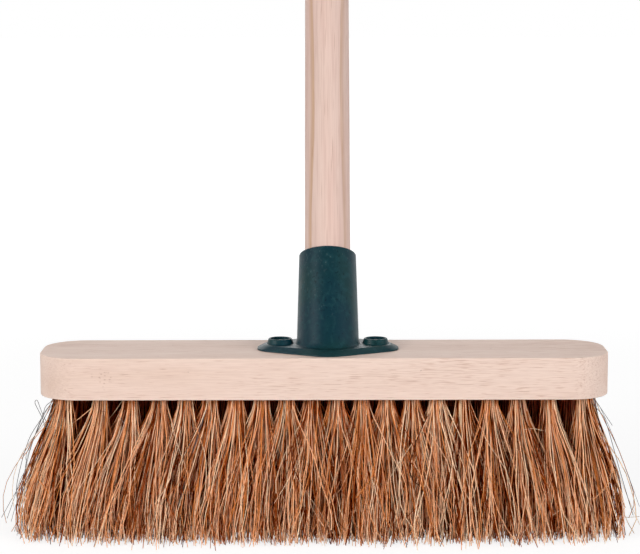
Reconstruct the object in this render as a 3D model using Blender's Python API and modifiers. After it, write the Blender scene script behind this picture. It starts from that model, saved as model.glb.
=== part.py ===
"""Yard broom: a wooden head block with coir tufts, a leaning socket bracket and a wooden handle.

The frame is in metres with +Z up. The origin is on the floor under the centre of the head block,
+X runs along the block, -Y is the broom's front and the handle leans back towards +Y.
"""

import math
import random

import bmesh
import bpy
from mathutils import Matrix, Vector

CLEARANCE = 0.0003  # gap between pieces that touch on the real broom
OVERRUN = 0.004  # how far a cutter runs past the face that it opens
SAME_PLACE = 0.00003  # places nearer than this count as one
MERGE_DISTANCE = 0.000003
SAME_WAY_SHARE = 0.0003  # edges that turn less than this from the Z axis count as upright
CHAMFER_STEPS = 1  # one flat face

# Head block
BLOCK_LENGTH = 0.305
BLOCK_DEPTH = 0.060
BLOCK_HEIGHT = 0.0225
BLOCK_CORNER_RADIUS = 0.0220
BLOCK_TOP_ROUNDING = 0.0006
BLOCK_FOOT_ROUNDING = 0.0005
BLOCK_CORNER_STEPS = 12
BLOCK_ROUNDING_STEPS = 2

# Bristles: tufts in holes, all trimmed to one length below the block
TRIM = 0.072
TUFT_RADIUS = 0.0042  # the drilled hole that a tuft fills
ROW_EDGE_MARGIN = 0.0046  # wood between the outer rows' holes and the block's long sides
END_MARGIN = 0.0058  # wood between a row's last hole and the block's end, in line with the row
STAGGER_END_MARGIN = 0.0164  # the same in the rows whose tufts stand between the others'
ROW_NAMES = ("front", "second", "middle", "fourth", "back")
TUFTS_PER_ROW = (20, 19, 20, 19, 20)
SECTION_NAMES = ("left", "centre", "right")
CROWDING_SHARE = 0.10  # how much the tufts crowd towards the block's middle
CROWDING_POWER = 6
STRAND_SIDES = 3
STRAND_RADIUS = 0.00125
STRAND_TIP_RADIUS = 0.0010
RING_STRANDS = 4  # strands round the one in a tuft's middle
ROOT_DEPTH = 0.0015  # how deep a strand is set into its slice
SPLAY_LENGTH = 0.0130  # how far the end tufts lean out along the block
SPLAY_DEPTH = 0.0160  # how far the outer rows lean out across it
TIP_SPREAD_SHARE = 0.32  # a tuft's fan at the floor, in pitches
TIP_JITTER_SHARE = 0.08
TIP_RAGGEDNESS = 0.0028  # the shortest strands end this far above the floor
SHORT_STRAND_SHARE = 0.45
BEND_HEIGHT_SHARE = 0.50  # where an outer strand bends, up from the floor
BEND_REACH_SHARE = 0.36  # how far out it is there, of its whole lean
RING_TURN_JITTER = math.radians(24.0)
BRISTLE_SEED = 7

# Slices of the block that carry the tufts, let into a pocket in its underside
SLICE_THICKNESS = 0.0040
POCKET_WALL = 0.0018

# Socket bracket: a six-sided flange, two screw bosses and a tube that leans back
BRACKET_OFFSET = 0.0021  # it is screwed on a little right of the block's middle
LEAN = math.radians(27.0)
FLANGE_LENGTH = 0.0762
FLANGE_DEPTH = 0.0582  # across the two blunt points before they are rounded
FLANGE_END_WIDTH = 0.0150
FLANGE_THICKNESS = 0.0028
FLANGE_EDGE_HEIGHT = 0.0008  # the upright edge all round, under the slope
FLANGE_SLOPE_WIDTH = 0.0042
FLANGE_POINT_ROUNDING = 0.0080
FLANGE_END_ROUNDING = 0.0058
FLANGE_ROUNDING_STEPS = 5
BOSS_SPACING = 0.0516
BOSS_FOOT_RADIUS = 0.0070
BOSS_TOP_RADIUS = 0.0064
BOSS_HEIGHT = 0.0028
BOSS_RECESS_RADIUS = 0.0052
TUBE_LENGTH = 0.0539  # from the block's top face to the rim, along the tube
TUBE_FOOT_RADIUS = 0.0169
TUBE_RIM_RADIUS = 0.0156
TUBE_RIM_ROUNDING = 0.0007
TUBE_RIM_STEPS = 2
TUBE_SKIRT_REACH = 0.0008
TUBE_SKIRT_HEIGHT = 0.0026
ROUND_STEPS = 48
BOSS_STEPS = 32

# Handle
HANDLE_LENGTH = 1.200
HANDLE_RADIUS = 0.0125
HANDLE_FOOT_RADIUS = 0.0112  # the end that is pushed into the socket is tapered
HANDLE_FOOT_CHAMFER = 0.0010
HANDLE_FLOOR = 0.0080  # from the block's top face to the bottom of the socket, along the tube
HANDLE_DOME_HEIGHT = 0.0085
HANDLE_DOME_STEPS = 7
HANDLE_STEPS = 40

# Screws: two pan heads through the flange, one countersunk head through the tube's back
BRACKET_SCREW_HEAD_RADIUS = 0.0040
BRACKET_SCREW_HEAD_HEIGHT = 0.0022
BRACKET_SCREW_BAND_SHARE = 0.45  # the head's upright side, of its height
BRACKET_SCREW_CROWN_STEPS = 4
BRACKET_SCREW_SHANK_RADIUS = 0.0019
BRACKET_SCREW_COVER = 0.0045  # wood left between the screw's point and the pocket
HANDLE_SCREW_BELOW_RIM = 0.0179  # from the tube's rim down to the screw, along the tube
HANDLE_SCREW_HEAD_RADIUS = 0.0032
HANDLE_SCREW_HEAD_DEPTH = 0.0017
HANDLE_SCREW_SHANK_RADIUS = 0.0016
HANDLE_SCREW_REACH = 0.0110  # into the handle
SCREW_POINT_LENGTH = 0.0030
SCREW_SLOT_LENGTH = 0.0040
SCREW_SLOT_WIDTH = 0.0008
SCREW_SLOT_DEPTH = 0.0011
SCREW_STEPS = 20

# Places that follow from the sizes
BLOCK_UNDERSIDE = TRIM
BLOCK_TOP = TRIM + BLOCK_HEIGHT
FLANGE_FOOT = BLOCK_TOP + CLEARANCE
FLANGE_TOP = FLANGE_FOOT + FLANGE_THICKNESS
POCKET_DEPTH = SLICE_THICKNESS + CLEARANCE
HANDLE_FOOT = HANDLE_FLOOR + CLEARANCE
HANDLE_END = HANDLE_FOOT + HANDLE_LENGTH
HANDLE_SCREW_PLACE = TUBE_LENGTH - HANDLE_SCREW_BELOW_RIM
OUTER_ROW = BLOCK_DEPTH / 2 - ROW_EDGE_MARGIN - TUFT_RADIUS
ROW_PITCH = 2 * OUTER_ROW / (len(ROW_NAMES) - 1)
RING_RADIUS = TUFT_RADIUS - STRAND_RADIUS
SMOOTH_BELOW = math.radians(35.0)

COLOURS = {
    "head_wood": ((0.85, 0.65, 0.55, 1.0), 0.62, 0.0),
    "handle_wood": ((0.78, 0.57, 0.49, 1.0), 0.58, 0.0),
    "bracket_plastic": ((0.015, 0.045, 0.055, 1.0), 0.45, 0.0),
    "screw_steel": ((0.45, 0.45, 0.43, 1.0), 0.38, 1.0),
    "coir": ((0.32, 0.12, 0.057, 1.0), 0.85, 0.0),
}


def clear_scene():
    """Remove whatever the new file came with."""
    for thing in list(bpy.data.objects):
        bpy.data.objects.remove(thing, do_unlink=True)


def new_collection(name):
    """A collection under the scene's own."""
    collection = bpy.data.collections.new(name)
    bpy.context.scene.collection.children.link(collection)
    return collection


def make_material(name):
    """A Principled material with the finish listed in COLOURS."""
    colour, roughness, metallic = COLOURS[name]
    material = bpy.data.materials.new(name)
    material.use_nodes = True
    shader = material.node_tree.nodes["Principled BSDF"]
    shader.inputs["Base Color"].default_value = colour
    shader.inputs["Roughness"].default_value = roughness
    shader.inputs["Metallic"].default_value = metallic
    material.diffuse_color = colour
    return material


def object_from(name, mesh, collection):
    """Turn a finished bmesh into an object with smooth round faces."""
    bmesh.ops.recalc_face_normals(mesh, faces=mesh.faces)
    data = bpy.data.meshes.new(name)
    mesh.to_mesh(data)
    mesh.free()
    data.shade_smooth()
    data.set_sharp_from_angle(angle=SMOOTH_BELOW)
    thing = bpy.data.objects.new(name, data)
    collection.objects.link(thing)
    return thing


def as_cutter(thing):
    """Mark an object as a tool for Booleans that isn't a piece itself."""
    thing.hide_render = True
    thing.display_type = "WIRE"
    return thing


def combine(thing, other, operation):
    """Add an exact Boolean of thing with other."""
    step = thing.modifiers.new(f"{operation.lower()}_{other.name}", "BOOLEAN")
    step.solver = "EXACT"
    step.operation = operation
    step.object = other
    return step


def upright_edges(mesh):
    """Edges that run straight up."""
    return [
        edge for edge in mesh.edges
        if (edge.verts[0].co - edge.verts[1].co).normalized().cross(Vector((0, 0, 1))).length < SAME_WAY_SHARE
    ]


def rim_edges(mesh, height):
    """Edges that lie at one height."""
    return [
        edge for edge in mesh.edges
        if all(abs(corner.co.z - height) < SAME_PLACE for corner in edge.verts)
    ]


def round_edges(mesh, edges, width, steps):
    """Bevel some edges with an arc of so many steps, or one flat for a chamfer."""
    bmesh.ops.bevel(
        mesh, geom=edges, offset=width, offset_type="OFFSET", segments=steps, profile=0.5,
        affect="EDGES", clamp_overlap=True,
    )


def box_mesh(size, centre):
    """A plain box."""
    mesh = bmesh.new()
    bmesh.ops.create_cube(mesh, size=1.0)
    bmesh.ops.scale(mesh, vec=size, verts=mesh.verts)
    bmesh.ops.translate(mesh, vec=centre, verts=mesh.verts)
    return mesh


def rounded_slab_mesh(length, depth, low, high, corner_radius):
    """A slab about the Z axis whose four upright corners are round."""
    mesh = box_mesh((length, depth, high - low), (0, 0, (low + high) / 2))
    round_edges(mesh, upright_edges(mesh), corner_radius, BLOCK_CORNER_STEPS)
    return mesh


def frustum_mesh(foot_radius, top_radius, foot, top, steps):
    """A frustum on the Z axis, closed at both ends."""
    mesh = bmesh.new()
    bmesh.ops.create_cone(
        mesh, cap_ends=True, segments=steps, radius1=foot_radius, radius2=top_radius, depth=top - foot,
        matrix=Matrix.Translation((0, 0, (foot + top) / 2)),
    )
    return mesh


def turned_object(name, profile, steps, collection):
    """Turn a profile of (radius, height) points, listed from top to bottom, round the Z axis."""
    data = bpy.data.meshes.new(name)
    points = [(radius, 0.0, height) for radius, height in profile]
    data.from_pydata(points, [(i, i + 1) for i in range(len(points) - 1)], [])
    thing = bpy.data.objects.new(name, data)
    collection.objects.link(thing)
    turn = thing.modifiers.new("turn", "SCREW")
    turn.axis = "Z"
    turn.steps = steps
    turn.render_steps = steps
    turn.use_merge_vertices = True
    turn.merge_threshold = MERGE_DISTANCE
    depsgraph = bpy.context.evaluated_depsgraph_get()
    solid = bpy.data.meshes.new_from_object(thing.evaluated_get(depsgraph))
    thing.modifiers.clear()
    thing.data = solid
    bpy.data.meshes.remove(data)
    solid.name = name
    solid.shade_smooth()
    solid.set_sharp_from_angle(angle=SMOOTH_BELOW)
    return thing


def outline_half_length(across):
    """Half the block's length at a distance from its middle line."""
    into_corner = abs(across) - (BLOCK_DEPTH / 2 - BLOCK_CORNER_RADIUS)
    if into_corner <= 0:
        return BLOCK_LENGTH / 2
    return BLOCK_LENGTH / 2 - BLOCK_CORNER_RADIUS + math.sqrt(BLOCK_CORNER_RADIUS**2 - into_corner**2)


def crowded(place):
    """A share of the row's half length that grows faster towards the block's end."""
    return (1 - CROWDING_SHARE) * place + CROWDING_SHARE * place * abs(place) ** (CROWDING_POWER - 1)


def tuft_places(row):
    """The tufts' places along the block in one row, from left to right."""
    count = TUFTS_PER_ROW[row]
    across = row_place(row)
    staggered = count != max(TUFTS_PER_ROW)
    margin = STAGGER_END_MARGIN if staggered else END_MARGIN
    last = outline_half_length(across) - margin - TUFT_RADIUS
    outermost_share = (count - 1) / max(TUFTS_PER_ROW)
    places = []
    for index in range(count):
        share = outermost_share * (2 * index / (count - 1) - 1)
        places.append(last * crowded(share) / crowded(outermost_share))
    return places


def row_place(row):
    """How far a row lies behind the block's middle line."""
    return -OUTER_ROW + row * ROW_PITCH


def make_block(parts, cutters):
    """The head block with round corners, softened edges and the pocket under it."""
    mesh = rounded_slab_mesh(BLOCK_LENGTH, BLOCK_DEPTH, BLOCK_UNDERSIDE, BLOCK_TOP, BLOCK_CORNER_RADIUS)
    round_edges(mesh, rim_edges(mesh, BLOCK_TOP), BLOCK_TOP_ROUNDING, BLOCK_ROUNDING_STEPS)
    round_edges(mesh, rim_edges(mesh, BLOCK_UNDERSIDE), BLOCK_FOOT_ROUNDING, CHAMFER_STEPS)
    block = object_from("head_block", mesh, parts)
    pocket = rounded_slab_mesh(
        BLOCK_LENGTH - 2 * POCKET_WALL, BLOCK_DEPTH - 2 * POCKET_WALL, BLOCK_UNDERSIDE - OVERRUN,
        BLOCK_UNDERSIDE + POCKET_DEPTH, BLOCK_CORNER_RADIUS - POCKET_WALL,
    )
    combine(block, as_cutter(object_from("pocket_cutter", pocket, cutters)), "DIFFERENCE")
    return block


def make_slice_plug(cutters):
    """The pocket's whole filling, which every slice is a piece of."""
    wall = POCKET_WALL + CLEARANCE
    plug = rounded_slab_mesh(
        BLOCK_LENGTH - 2 * wall, BLOCK_DEPTH - 2 * wall, BLOCK_UNDERSIDE,
        BLOCK_UNDERSIDE + SLICE_THICKNESS, BLOCK_CORNER_RADIUS - wall,
    )
    return as_cutter(object_from("slice_plug", plug, cutters))


def add_strand(mesh, path, radii, turn):
    """Grow one strand up its path from the tip, with level ends so that it stands flat."""
    tip = bmesh.ops.create_circle(
        mesh, cap_ends=True, segments=STRAND_SIDES, radius=radii[0],
        matrix=Matrix.Translation(path[0]) @ Matrix.Rotation(turn, 4, "Z"),
    )
    foot = tip["verts"][0].link_faces[0]
    end = foot
    for below, above, thin, thick in zip(path, path[1:], radii, radii[1:]):
        grown = bmesh.ops.extrude_face_region(mesh, geom=[end])["geom"]
        if end is not foot:
            bmesh.ops.delete(mesh, geom=[end], context="FACES_ONLY")
        corners = [part for part in grown if isinstance(part, bmesh.types.BMVert)]
        growth = thick / thin
        bmesh.ops.scale(mesh, vec=(growth, growth, 1), verts=corners, space=Matrix.Translation(-below))
        bmesh.ops.translate(mesh, vec=above - below, verts=corners)
        end = next(part for part in grown if isinstance(part, bmesh.types.BMFace))


def add_tuft(mesh, along, across, last_along, pitch, outer, chance):
    """Add one tuft: a middle strand and a ring of others that fans out towards the floor."""
    centre = Vector((along, across, BLOCK_UNDERSIDE + ROOT_DEPTH))
    lean = Vector((SPLAY_LENGTH * along / last_along, SPLAY_DEPTH * across / OUTER_ROW, 0))
    tip_pitch = Vector((
        pitch * (1 + SPLAY_LENGTH / last_along),
        ROW_PITCH * (1 + SPLAY_DEPTH / OUTER_ROW),
    ))
    ring_turn = chance.uniform(-RING_TURN_JITTER, RING_TURN_JITTER)
    for index in range(RING_STRANDS + 1):
        angle = ring_turn + math.tau * index / RING_STRANDS
        ring = 0.0 if index == RING_STRANDS else 1.0
        out = Vector((math.cos(angle), math.sin(angle), 0)) * ring
        fan = Vector((out.x * tip_pitch.x, out.y * tip_pitch.y, 0)) * TIP_SPREAD_SHARE
        jitter = Vector((
            chance.uniform(-1, 1) * tip_pitch.x * TIP_JITTER_SHARE,
            chance.uniform(-1, 1) * tip_pitch.y * TIP_JITTER_SHARE,
            0,
        ))
        is_short = chance.random() < SHORT_STRAND_SHARE
        height = chance.random() * TIP_RAGGEDNESS if is_short else 0.0
        root = centre + out * RING_RADIUS
        tip = Vector((centre.x, centre.y, height)) + lean + fan + jitter
        turn = chance.uniform(0, math.tau)
        path = [tip, root]
        radii = [STRAND_TIP_RADIUS, STRAND_RADIUS]
        if outer:
            bend = root.lerp(tip, BEND_REACH_SHARE)
            bend.z = height + (root.z - height) * BEND_HEIGHT_SHARE
            path.insert(1, bend)
            radii.insert(1, (STRAND_RADIUS + STRAND_TIP_RADIUS) / 2)
        add_strand(mesh, path, radii, turn)


def section_counts(count):
    """How many tufts of a row each of its three sections holds, the same at both ends."""
    end = round(count / len(SECTION_NAMES))
    return (end, count - 2 * end, end)


def make_bristles(row, parts, cutters, plug, chance):
    """One row's three nodes: slices of the block's wood, each with its tufts."""
    places = tuft_places(row)
    across = row_place(row)
    outer = row in (0, len(ROW_NAMES) - 1)
    pitch = (places[-1] - places[0]) / (len(places) - 1)
    front = -BLOCK_DEPTH / 2 if row == 0 else across - ROW_PITCH / 2 + CLEARANCE / 2
    back = BLOCK_DEPTH / 2 if row == len(ROW_NAMES) - 1 else across + ROW_PITCH / 2 - CLEARANCE / 2
    first = 0
    nodes = []
    for section, count in zip(SECTION_NAMES, section_counts(len(places))):
        held = places[first:first + count]
        left = -BLOCK_LENGTH / 2 if first == 0 else (places[first - 1] + held[0] + CLEARANCE) / 2
        first += count
        right = BLOCK_LENGTH / 2 if first == len(places) else (held[-1] + places[first] - CLEARANCE) / 2
        size = (right - left, back - front, SLICE_THICKNESS + 2 * OVERRUN)
        centre = ((left + right) / 2, (front + back) / 2, BLOCK_UNDERSIDE + SLICE_THICKNESS / 2)
        name = f"bristles_{ROW_NAMES[row]}_{section}"
        node = object_from(name, box_mesh(size, centre), parts)
        combine(node, plug, "INTERSECT")
        mesh = bmesh.new()
        for along in held:
            add_tuft(mesh, along, across, places[-1], pitch, outer, chance)
        strands = as_cutter(object_from(f"strands_{ROW_NAMES[row]}_{section}", mesh, cutters))
        combine(node, strands, "UNION")
        nodes.append(node)
    return nodes


def raise_face(mesh, face, height):
    """Extrude a face straight up and give back the corners of its new top."""
    grown = bmesh.ops.extrude_face_region(mesh, geom=[face])["geom"]
    lifted = [part for part in grown if isinstance(part, bmesh.types.BMVert)]
    bmesh.ops.translate(mesh, vec=(0, 0, height), verts=lifted)
    return lifted


def flange_mesh():
    """The six-sided flange: a low upright edge with round corners, and a slope all round above it."""
    half_length = FLANGE_LENGTH / 2
    half_depth = FLANGE_DEPTH / 2
    half_end = FLANGE_END_WIDTH / 2
    corners = [
        (-half_length, -half_end), (0, -half_depth), (half_length, -half_end),
        (half_length, half_end), (0, half_depth), (-half_length, half_end),
    ]
    mesh = bmesh.new()
    outline = mesh.faces.new([mesh.verts.new((x, y, FLANGE_FOOT)) for x, y in corners])
    raise_face(mesh, outline, FLANGE_EDGE_HEIGHT)
    points = [edge for edge in upright_edges(mesh) if abs(edge.verts[0].co.x) < half_end]
    round_edges(mesh, points, FLANGE_POINT_ROUNDING, FLANGE_ROUNDING_STEPS)
    ends = [edge for edge in upright_edges(mesh) if abs(edge.verts[0].co.x) > half_length - SAME_PLACE]
    round_edges(mesh, ends, FLANGE_END_ROUNDING, FLANGE_ROUNDING_STEPS)
    ledge = max(mesh.faces, key=lambda face: face.calc_center_median().z)
    crest = raise_face(mesh, ledge, FLANGE_THICKNESS - FLANGE_EDGE_HEIGHT)
    bmesh.ops.delete(mesh, geom=[ledge], context="FACES_ONLY")
    slope_across = FLANGE_SLOPE_WIDTH * math.hypot(half_length, half_depth - half_end) / half_length
    narrowing = (1 - FLANGE_SLOPE_WIDTH / half_length, 1 - slope_across / half_depth, 1)
    bmesh.ops.scale(mesh, vec=narrowing, verts=crest)
    bmesh.ops.translate(mesh, vec=(BRACKET_OFFSET, 0, 0), verts=mesh.verts)
    return mesh


def leaning():
    """The placing that stands the Z axis along the handle, from the block's top face."""
    return Matrix.Translation((BRACKET_OFFSET, 0, BLOCK_TOP)) @ Matrix.Rotation(-LEAN, 4, "X")


def tube_mesh():
    """The tube's outside, with a soft rim, cut level inside the flange."""
    below = TUBE_FOOT_RADIUS * math.tan(LEAN) + OVERRUN
    slope = (TUBE_FOOT_RADIUS - TUBE_RIM_RADIUS) / TUBE_LENGTH
    mesh = frustum_mesh(TUBE_FOOT_RADIUS + slope * below, TUBE_RIM_RADIUS, -below, TUBE_LENGTH, ROUND_STEPS)
    round_edges(mesh, rim_edges(mesh, TUBE_LENGTH), TUBE_RIM_ROUNDING, TUBE_RIM_STEPS)
    bmesh.ops.transform(mesh, matrix=leaning(), verts=mesh.verts)
    everything = list(mesh.verts) + list(mesh.edges) + list(mesh.faces)
    level = FLANGE_FOOT + FLANGE_THICKNESS / 2
    cut = bmesh.ops.bisect_plane(
        mesh, geom=everything, plane_co=(0, 0, level), plane_no=(0, 0, 1), clear_inner=True,
    )
    loop = [part for part in cut["geom_cut"] if isinstance(part, bmesh.types.BMEdge)]
    bmesh.ops.edgeloop_fill(mesh, edges=loop)
    return mesh


def skirt_mesh():
    """The small flare where the tube meets the flange: a level cone sheared to the tube's lean."""
    low = FLANGE_FOOT + FLANGE_THICKNESS / 2 - BLOCK_TOP
    high = FLANGE_TOP + TUBE_SKIRT_HEIGHT - BLOCK_TOP
    slope = (TUBE_FOOT_RADIUS - TUBE_RIM_RADIUS) / TUBE_LENGTH
    inset = slope * high / math.cos(LEAN) + CLEARANCE
    mesh = frustum_mesh(TUBE_FOOT_RADIUS + TUBE_SKIRT_REACH, TUBE_FOOT_RADIUS - inset, low, high, ROUND_STEPS)
    stretch = Matrix.Scale(1 / math.cos(LEAN), 4, (0, 1, 0))
    shear = Matrix.Shear("XY", 4, (0, math.tan(LEAN)))
    place = Matrix.Translation((BRACKET_OFFSET, 0, BLOCK_TOP))
    bmesh.ops.transform(mesh, matrix=place @ shear @ stretch, verts=mesh.verts)
    return mesh


def socket_radius(place):
    """The handle's radius inside the socket at a place along the tube."""
    share = (place - HANDLE_FOOT) / (TUBE_LENGTH - HANDLE_FOOT)
    return HANDLE_FOOT_RADIUS + (HANDLE_RADIUS - HANDLE_FOOT_RADIUS) * share


def tube_radius(place):
    """The tube's outer radius at a place along it."""
    return TUBE_FOOT_RADIUS + (TUBE_RIM_RADIUS - TUBE_FOOT_RADIUS) * place / TUBE_LENGTH


def boss_places():
    """The centres of the two screw bosses, left and right."""
    return [BRACKET_OFFSET - BOSS_SPACING / 2, BRACKET_OFFSET + BOSS_SPACING / 2]


def make_bracket(parts, cutters, handle_axis):
    """The socket bracket: flange, leaning tube with its blind bore, and two bosses with recesses."""
    bracket = object_from("socket_bracket", flange_mesh(), parts)
    combine(bracket, as_cutter(object_from("bracket_tube", tube_mesh(), cutters)), "UNION")
    combine(bracket, as_cutter(object_from("bracket_skirt", skirt_mesh(), cutters)), "UNION")
    boss_foot = FLANGE_TOP - FLANGE_THICKNESS / 2
    boss_top = FLANGE_TOP + BOSS_HEIGHT
    for side, along in zip(("left", "right"), boss_places()):
        boss = frustum_mesh(BOSS_FOOT_RADIUS, BOSS_TOP_RADIUS, boss_foot, boss_top, BOSS_STEPS)
        bmesh.ops.translate(boss, vec=(along, 0, 0), verts=boss.verts)
        combine(bracket, as_cutter(object_from(f"boss_{side}", boss, cutters)), "UNION")
    for side, along in zip(("left", "right"), boss_places()):
        recess = frustum_mesh(BOSS_RECESS_RADIUS, BOSS_RECESS_RADIUS, FLANGE_TOP, boss_top + OVERRUN, BOSS_STEPS)
        bmesh.ops.translate(recess, vec=(along, 0, 0), verts=recess.verts)
        combine(bracket, as_cutter(object_from(f"recess_{side}", recess, cutters)), "DIFFERENCE")
        hole_radius = BRACKET_SCREW_SHANK_RADIUS + CLEARANCE
        hole = frustum_mesh(hole_radius, hole_radius, FLANGE_FOOT - OVERRUN, boss_top, SCREW_STEPS)
        bmesh.ops.translate(hole, vec=(along, 0, 0), verts=hole.verts)
        combine(bracket, as_cutter(object_from(f"screw_hole_{side}", hole, cutters)), "DIFFERENCE")
    bore_end = TUBE_LENGTH + OVERRUN
    bore = frustum_mesh(
        socket_radius(HANDLE_FLOOR) + CLEARANCE, socket_radius(bore_end) + CLEARANCE,
        HANDLE_FLOOR, bore_end, ROUND_STEPS,
    )
    bore_cutter = as_cutter(object_from("socket_bore", bore, cutters))
    bore_cutter.parent = handle_axis
    combine(bracket, bore_cutter, "DIFFERENCE")
    return bracket


def pan_screw_profile(reach):
    """A pan head on a shank that ends in a point, with the head's seat at zero."""
    head = BRACKET_SCREW_HEAD_RADIUS
    height = BRACKET_SCREW_HEAD_HEIGHT
    shank = BRACKET_SCREW_SHANK_RADIUS
    band = height * BRACKET_SCREW_BAND_SHARE
    crown = []
    for step in range(BRACKET_SCREW_CROWN_STEPS + 1):
        turn = math.pi / 2 * step / BRACKET_SCREW_CROWN_STEPS
        crown.append((head * math.sin(turn), band + (height - band) * math.cos(turn)))
    return crown + [(head, 0.0), (shank, 0.0), (shank, -reach + SCREW_POINT_LENGTH), (0.0, -reach)]


def countersunk_profile(reach, grow=0.0):
    """A countersunk head on a pointed shank, with the head's top at zero, grown all round for its hole."""
    head = HANDLE_SCREW_HEAD_RADIUS + grow
    shank = HANDLE_SCREW_SHANK_RADIUS + grow
    neck = -HANDLE_SCREW_HEAD_DEPTH - grow
    top = [(0.0, OVERRUN), (head, OVERRUN)] if grow else [(0.0, 0.0)]
    point = -reach - grow
    return top + [(head, 0.0), (shank, neck), (shank, point + SCREW_POINT_LENGTH), (0.0, point)]


def cut_cross(screw, head_top, cutters):
    """Cut a cross recess into a screw's head with two crossed bars."""
    for index, turn in enumerate((0.0, math.pi / 2)):
        bar_size = (SCREW_SLOT_LENGTH, SCREW_SLOT_WIDTH, 2 * SCREW_SLOT_DEPTH)
        bar = object_from(f"{screw.name}_cross_{index}", box_mesh(bar_size, (0, 0, head_top)), cutters)
        bar.parent = screw
        bar.rotation_euler = (0, 0, turn)
        combine(screw, as_cutter(bar), "DIFFERENCE")


def make_bracket_screws(block, parts, cutters):
    """The two pan head screws in the bosses, and their pilot holes in the block."""
    seat = FLANGE_TOP + CLEARANCE
    reach = seat - (BLOCK_UNDERSIDE + POCKET_DEPTH + BRACKET_SCREW_COVER)
    screws = []
    for side, along in zip(("left", "right"), boss_places()):
        screw = turned_object(f"bracket_screw_{side}", pan_screw_profile(reach), SCREW_STEPS, parts)
        screw.location = (along, 0, seat)
        cut_cross(screw, BRACKET_SCREW_HEAD_HEIGHT, cutters)
        hole_radius = BRACKET_SCREW_SHANK_RADIUS + CLEARANCE
        hole = frustum_mesh(hole_radius, hole_radius, seat - reach - CLEARANCE, BLOCK_TOP + OVERRUN, SCREW_STEPS)
        bmesh.ops.translate(hole, vec=(along, 0, 0), verts=hole.verts)
        combine(block, as_cutter(object_from(f"pilot_{side}", hole, cutters)), "DIFFERENCE")
        screws.append(screw)
    return screws


def make_handle_screw(bracket, handle, parts, cutters, handle_axis):
    """The screw through the tube's back into the handle, and the hole that it sits in."""
    head_place = tube_radius(HANDLE_SCREW_PLACE) - CLEARANCE
    reach = head_place - HANDLE_RADIUS + HANDLE_SCREW_REACH
    screw = turned_object("handle_screw", countersunk_profile(reach), SCREW_STEPS, parts)
    hole = turned_object("handle_screw_hole", countersunk_profile(reach, CLEARANCE), SCREW_STEPS, cutters)
    for thing in (screw, hole):
        thing.parent = handle_axis
        thing.location = (0, head_place, HANDLE_SCREW_PLACE)
        thing.rotation_euler = (-math.pi / 2, 0, 0)
    cut_cross(screw, 0.0, cutters)
    as_cutter(hole)
    combine(bracket, hole, "DIFFERENCE")
    combine(handle, hole, "DIFFERENCE")
    return screw


def make_handle(parts, handle_axis):
    """The round handle: tapered where it is pushed into the socket, domed at its top."""
    dome_foot = HANDLE_END - HANDLE_DOME_HEIGHT
    profile = []
    for step in range(HANDLE_DOME_STEPS + 1):
        turn = math.pi / 2 * step / HANDLE_DOME_STEPS
        profile.append((HANDLE_RADIUS * math.sin(turn), dome_foot + HANDLE_DOME_HEIGHT * math.cos(turn)))
    profile += [
        (HANDLE_RADIUS, TUBE_LENGTH),
        (HANDLE_FOOT_RADIUS, HANDLE_FOOT + HANDLE_FOOT_CHAMFER),
        (HANDLE_FOOT_RADIUS - HANDLE_FOOT_CHAMFER, HANDLE_FOOT),
        (0.0, HANDLE_FOOT),
    ]
    handle = turned_object("handle", profile, HANDLE_STEPS, parts)
    handle.parent = handle_axis
    return handle


def make_handle_axis(collection):
    """An empty whose Z axis is the handle's, set on the block's top face."""
    axis = bpy.data.objects.new("handle_axis", None)
    collection.objects.link(axis)
    axis.matrix_world = leaning()
    return axis


def main():
    """Model the whole broom."""
    clear_scene()
    parts = new_collection("yard_broom")
    cutters = new_collection("cutters")
    materials = {name: make_material(name) for name in COLOURS}
    handle_axis = make_handle_axis(parts)
    block = make_block(parts, cutters)
    bracket = make_bracket(parts, cutters, handle_axis)
    handle = make_handle(parts, handle_axis)
    screws = make_bracket_screws(block, parts, cutters)
    screws.append(make_handle_screw(bracket, handle, parts, cutters, handle_axis))
    plug = make_slice_plug(cutters)
    chance = random.Random(BRISTLE_SEED)
    bristles = []
    for row in range(len(ROW_NAMES)):
        bristles += make_bristles(row, parts, cutters, plug, chance)
    finishes = {"head_wood": [block], "handle_wood": [handle], "bracket_plastic": [bracket]}
    finishes["screw_steel"] = screws
    finishes["coir"] = bristles
    for finish, things in finishes.items():
        for thing in things:
            thing.data.materials.append(materials[finish])


if __name__ == "__main__":
    main()
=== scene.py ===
"""Yard broom: the looks of a wooden head with coir tufts, a moulded socket bracket and a wooden handle.

Everything is in metres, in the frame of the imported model: +Z up from the floor, +X along the head
block, and -Y the broom's front, so that the handle leans back towards +Y.
"""

from __future__ import annotations

import logging
import math
from collections.abc import Iterable, Sequence
from dataclasses import dataclass, fields
from enum import Enum

import bmesh
import bpy
import numpy as np
from mathutils import Matrix, Vector, noise


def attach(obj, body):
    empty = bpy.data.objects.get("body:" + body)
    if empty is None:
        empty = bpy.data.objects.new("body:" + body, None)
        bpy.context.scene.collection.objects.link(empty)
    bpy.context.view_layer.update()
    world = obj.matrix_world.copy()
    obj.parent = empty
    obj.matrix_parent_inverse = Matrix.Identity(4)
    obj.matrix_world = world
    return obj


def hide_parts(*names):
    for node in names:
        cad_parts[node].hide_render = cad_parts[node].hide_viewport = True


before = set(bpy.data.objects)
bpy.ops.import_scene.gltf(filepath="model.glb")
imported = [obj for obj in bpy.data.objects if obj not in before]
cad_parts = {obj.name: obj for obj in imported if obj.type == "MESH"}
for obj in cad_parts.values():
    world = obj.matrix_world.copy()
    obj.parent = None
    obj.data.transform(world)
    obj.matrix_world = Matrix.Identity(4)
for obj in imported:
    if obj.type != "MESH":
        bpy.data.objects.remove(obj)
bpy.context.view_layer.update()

LOG = logging.getLogger("yard_broom")
BODY = "root"
MILLIMETRES = 1000

# Edges that bend by less than this angle, in degrees, shade softly
SMOOTH_BELOW = 35.0
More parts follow.
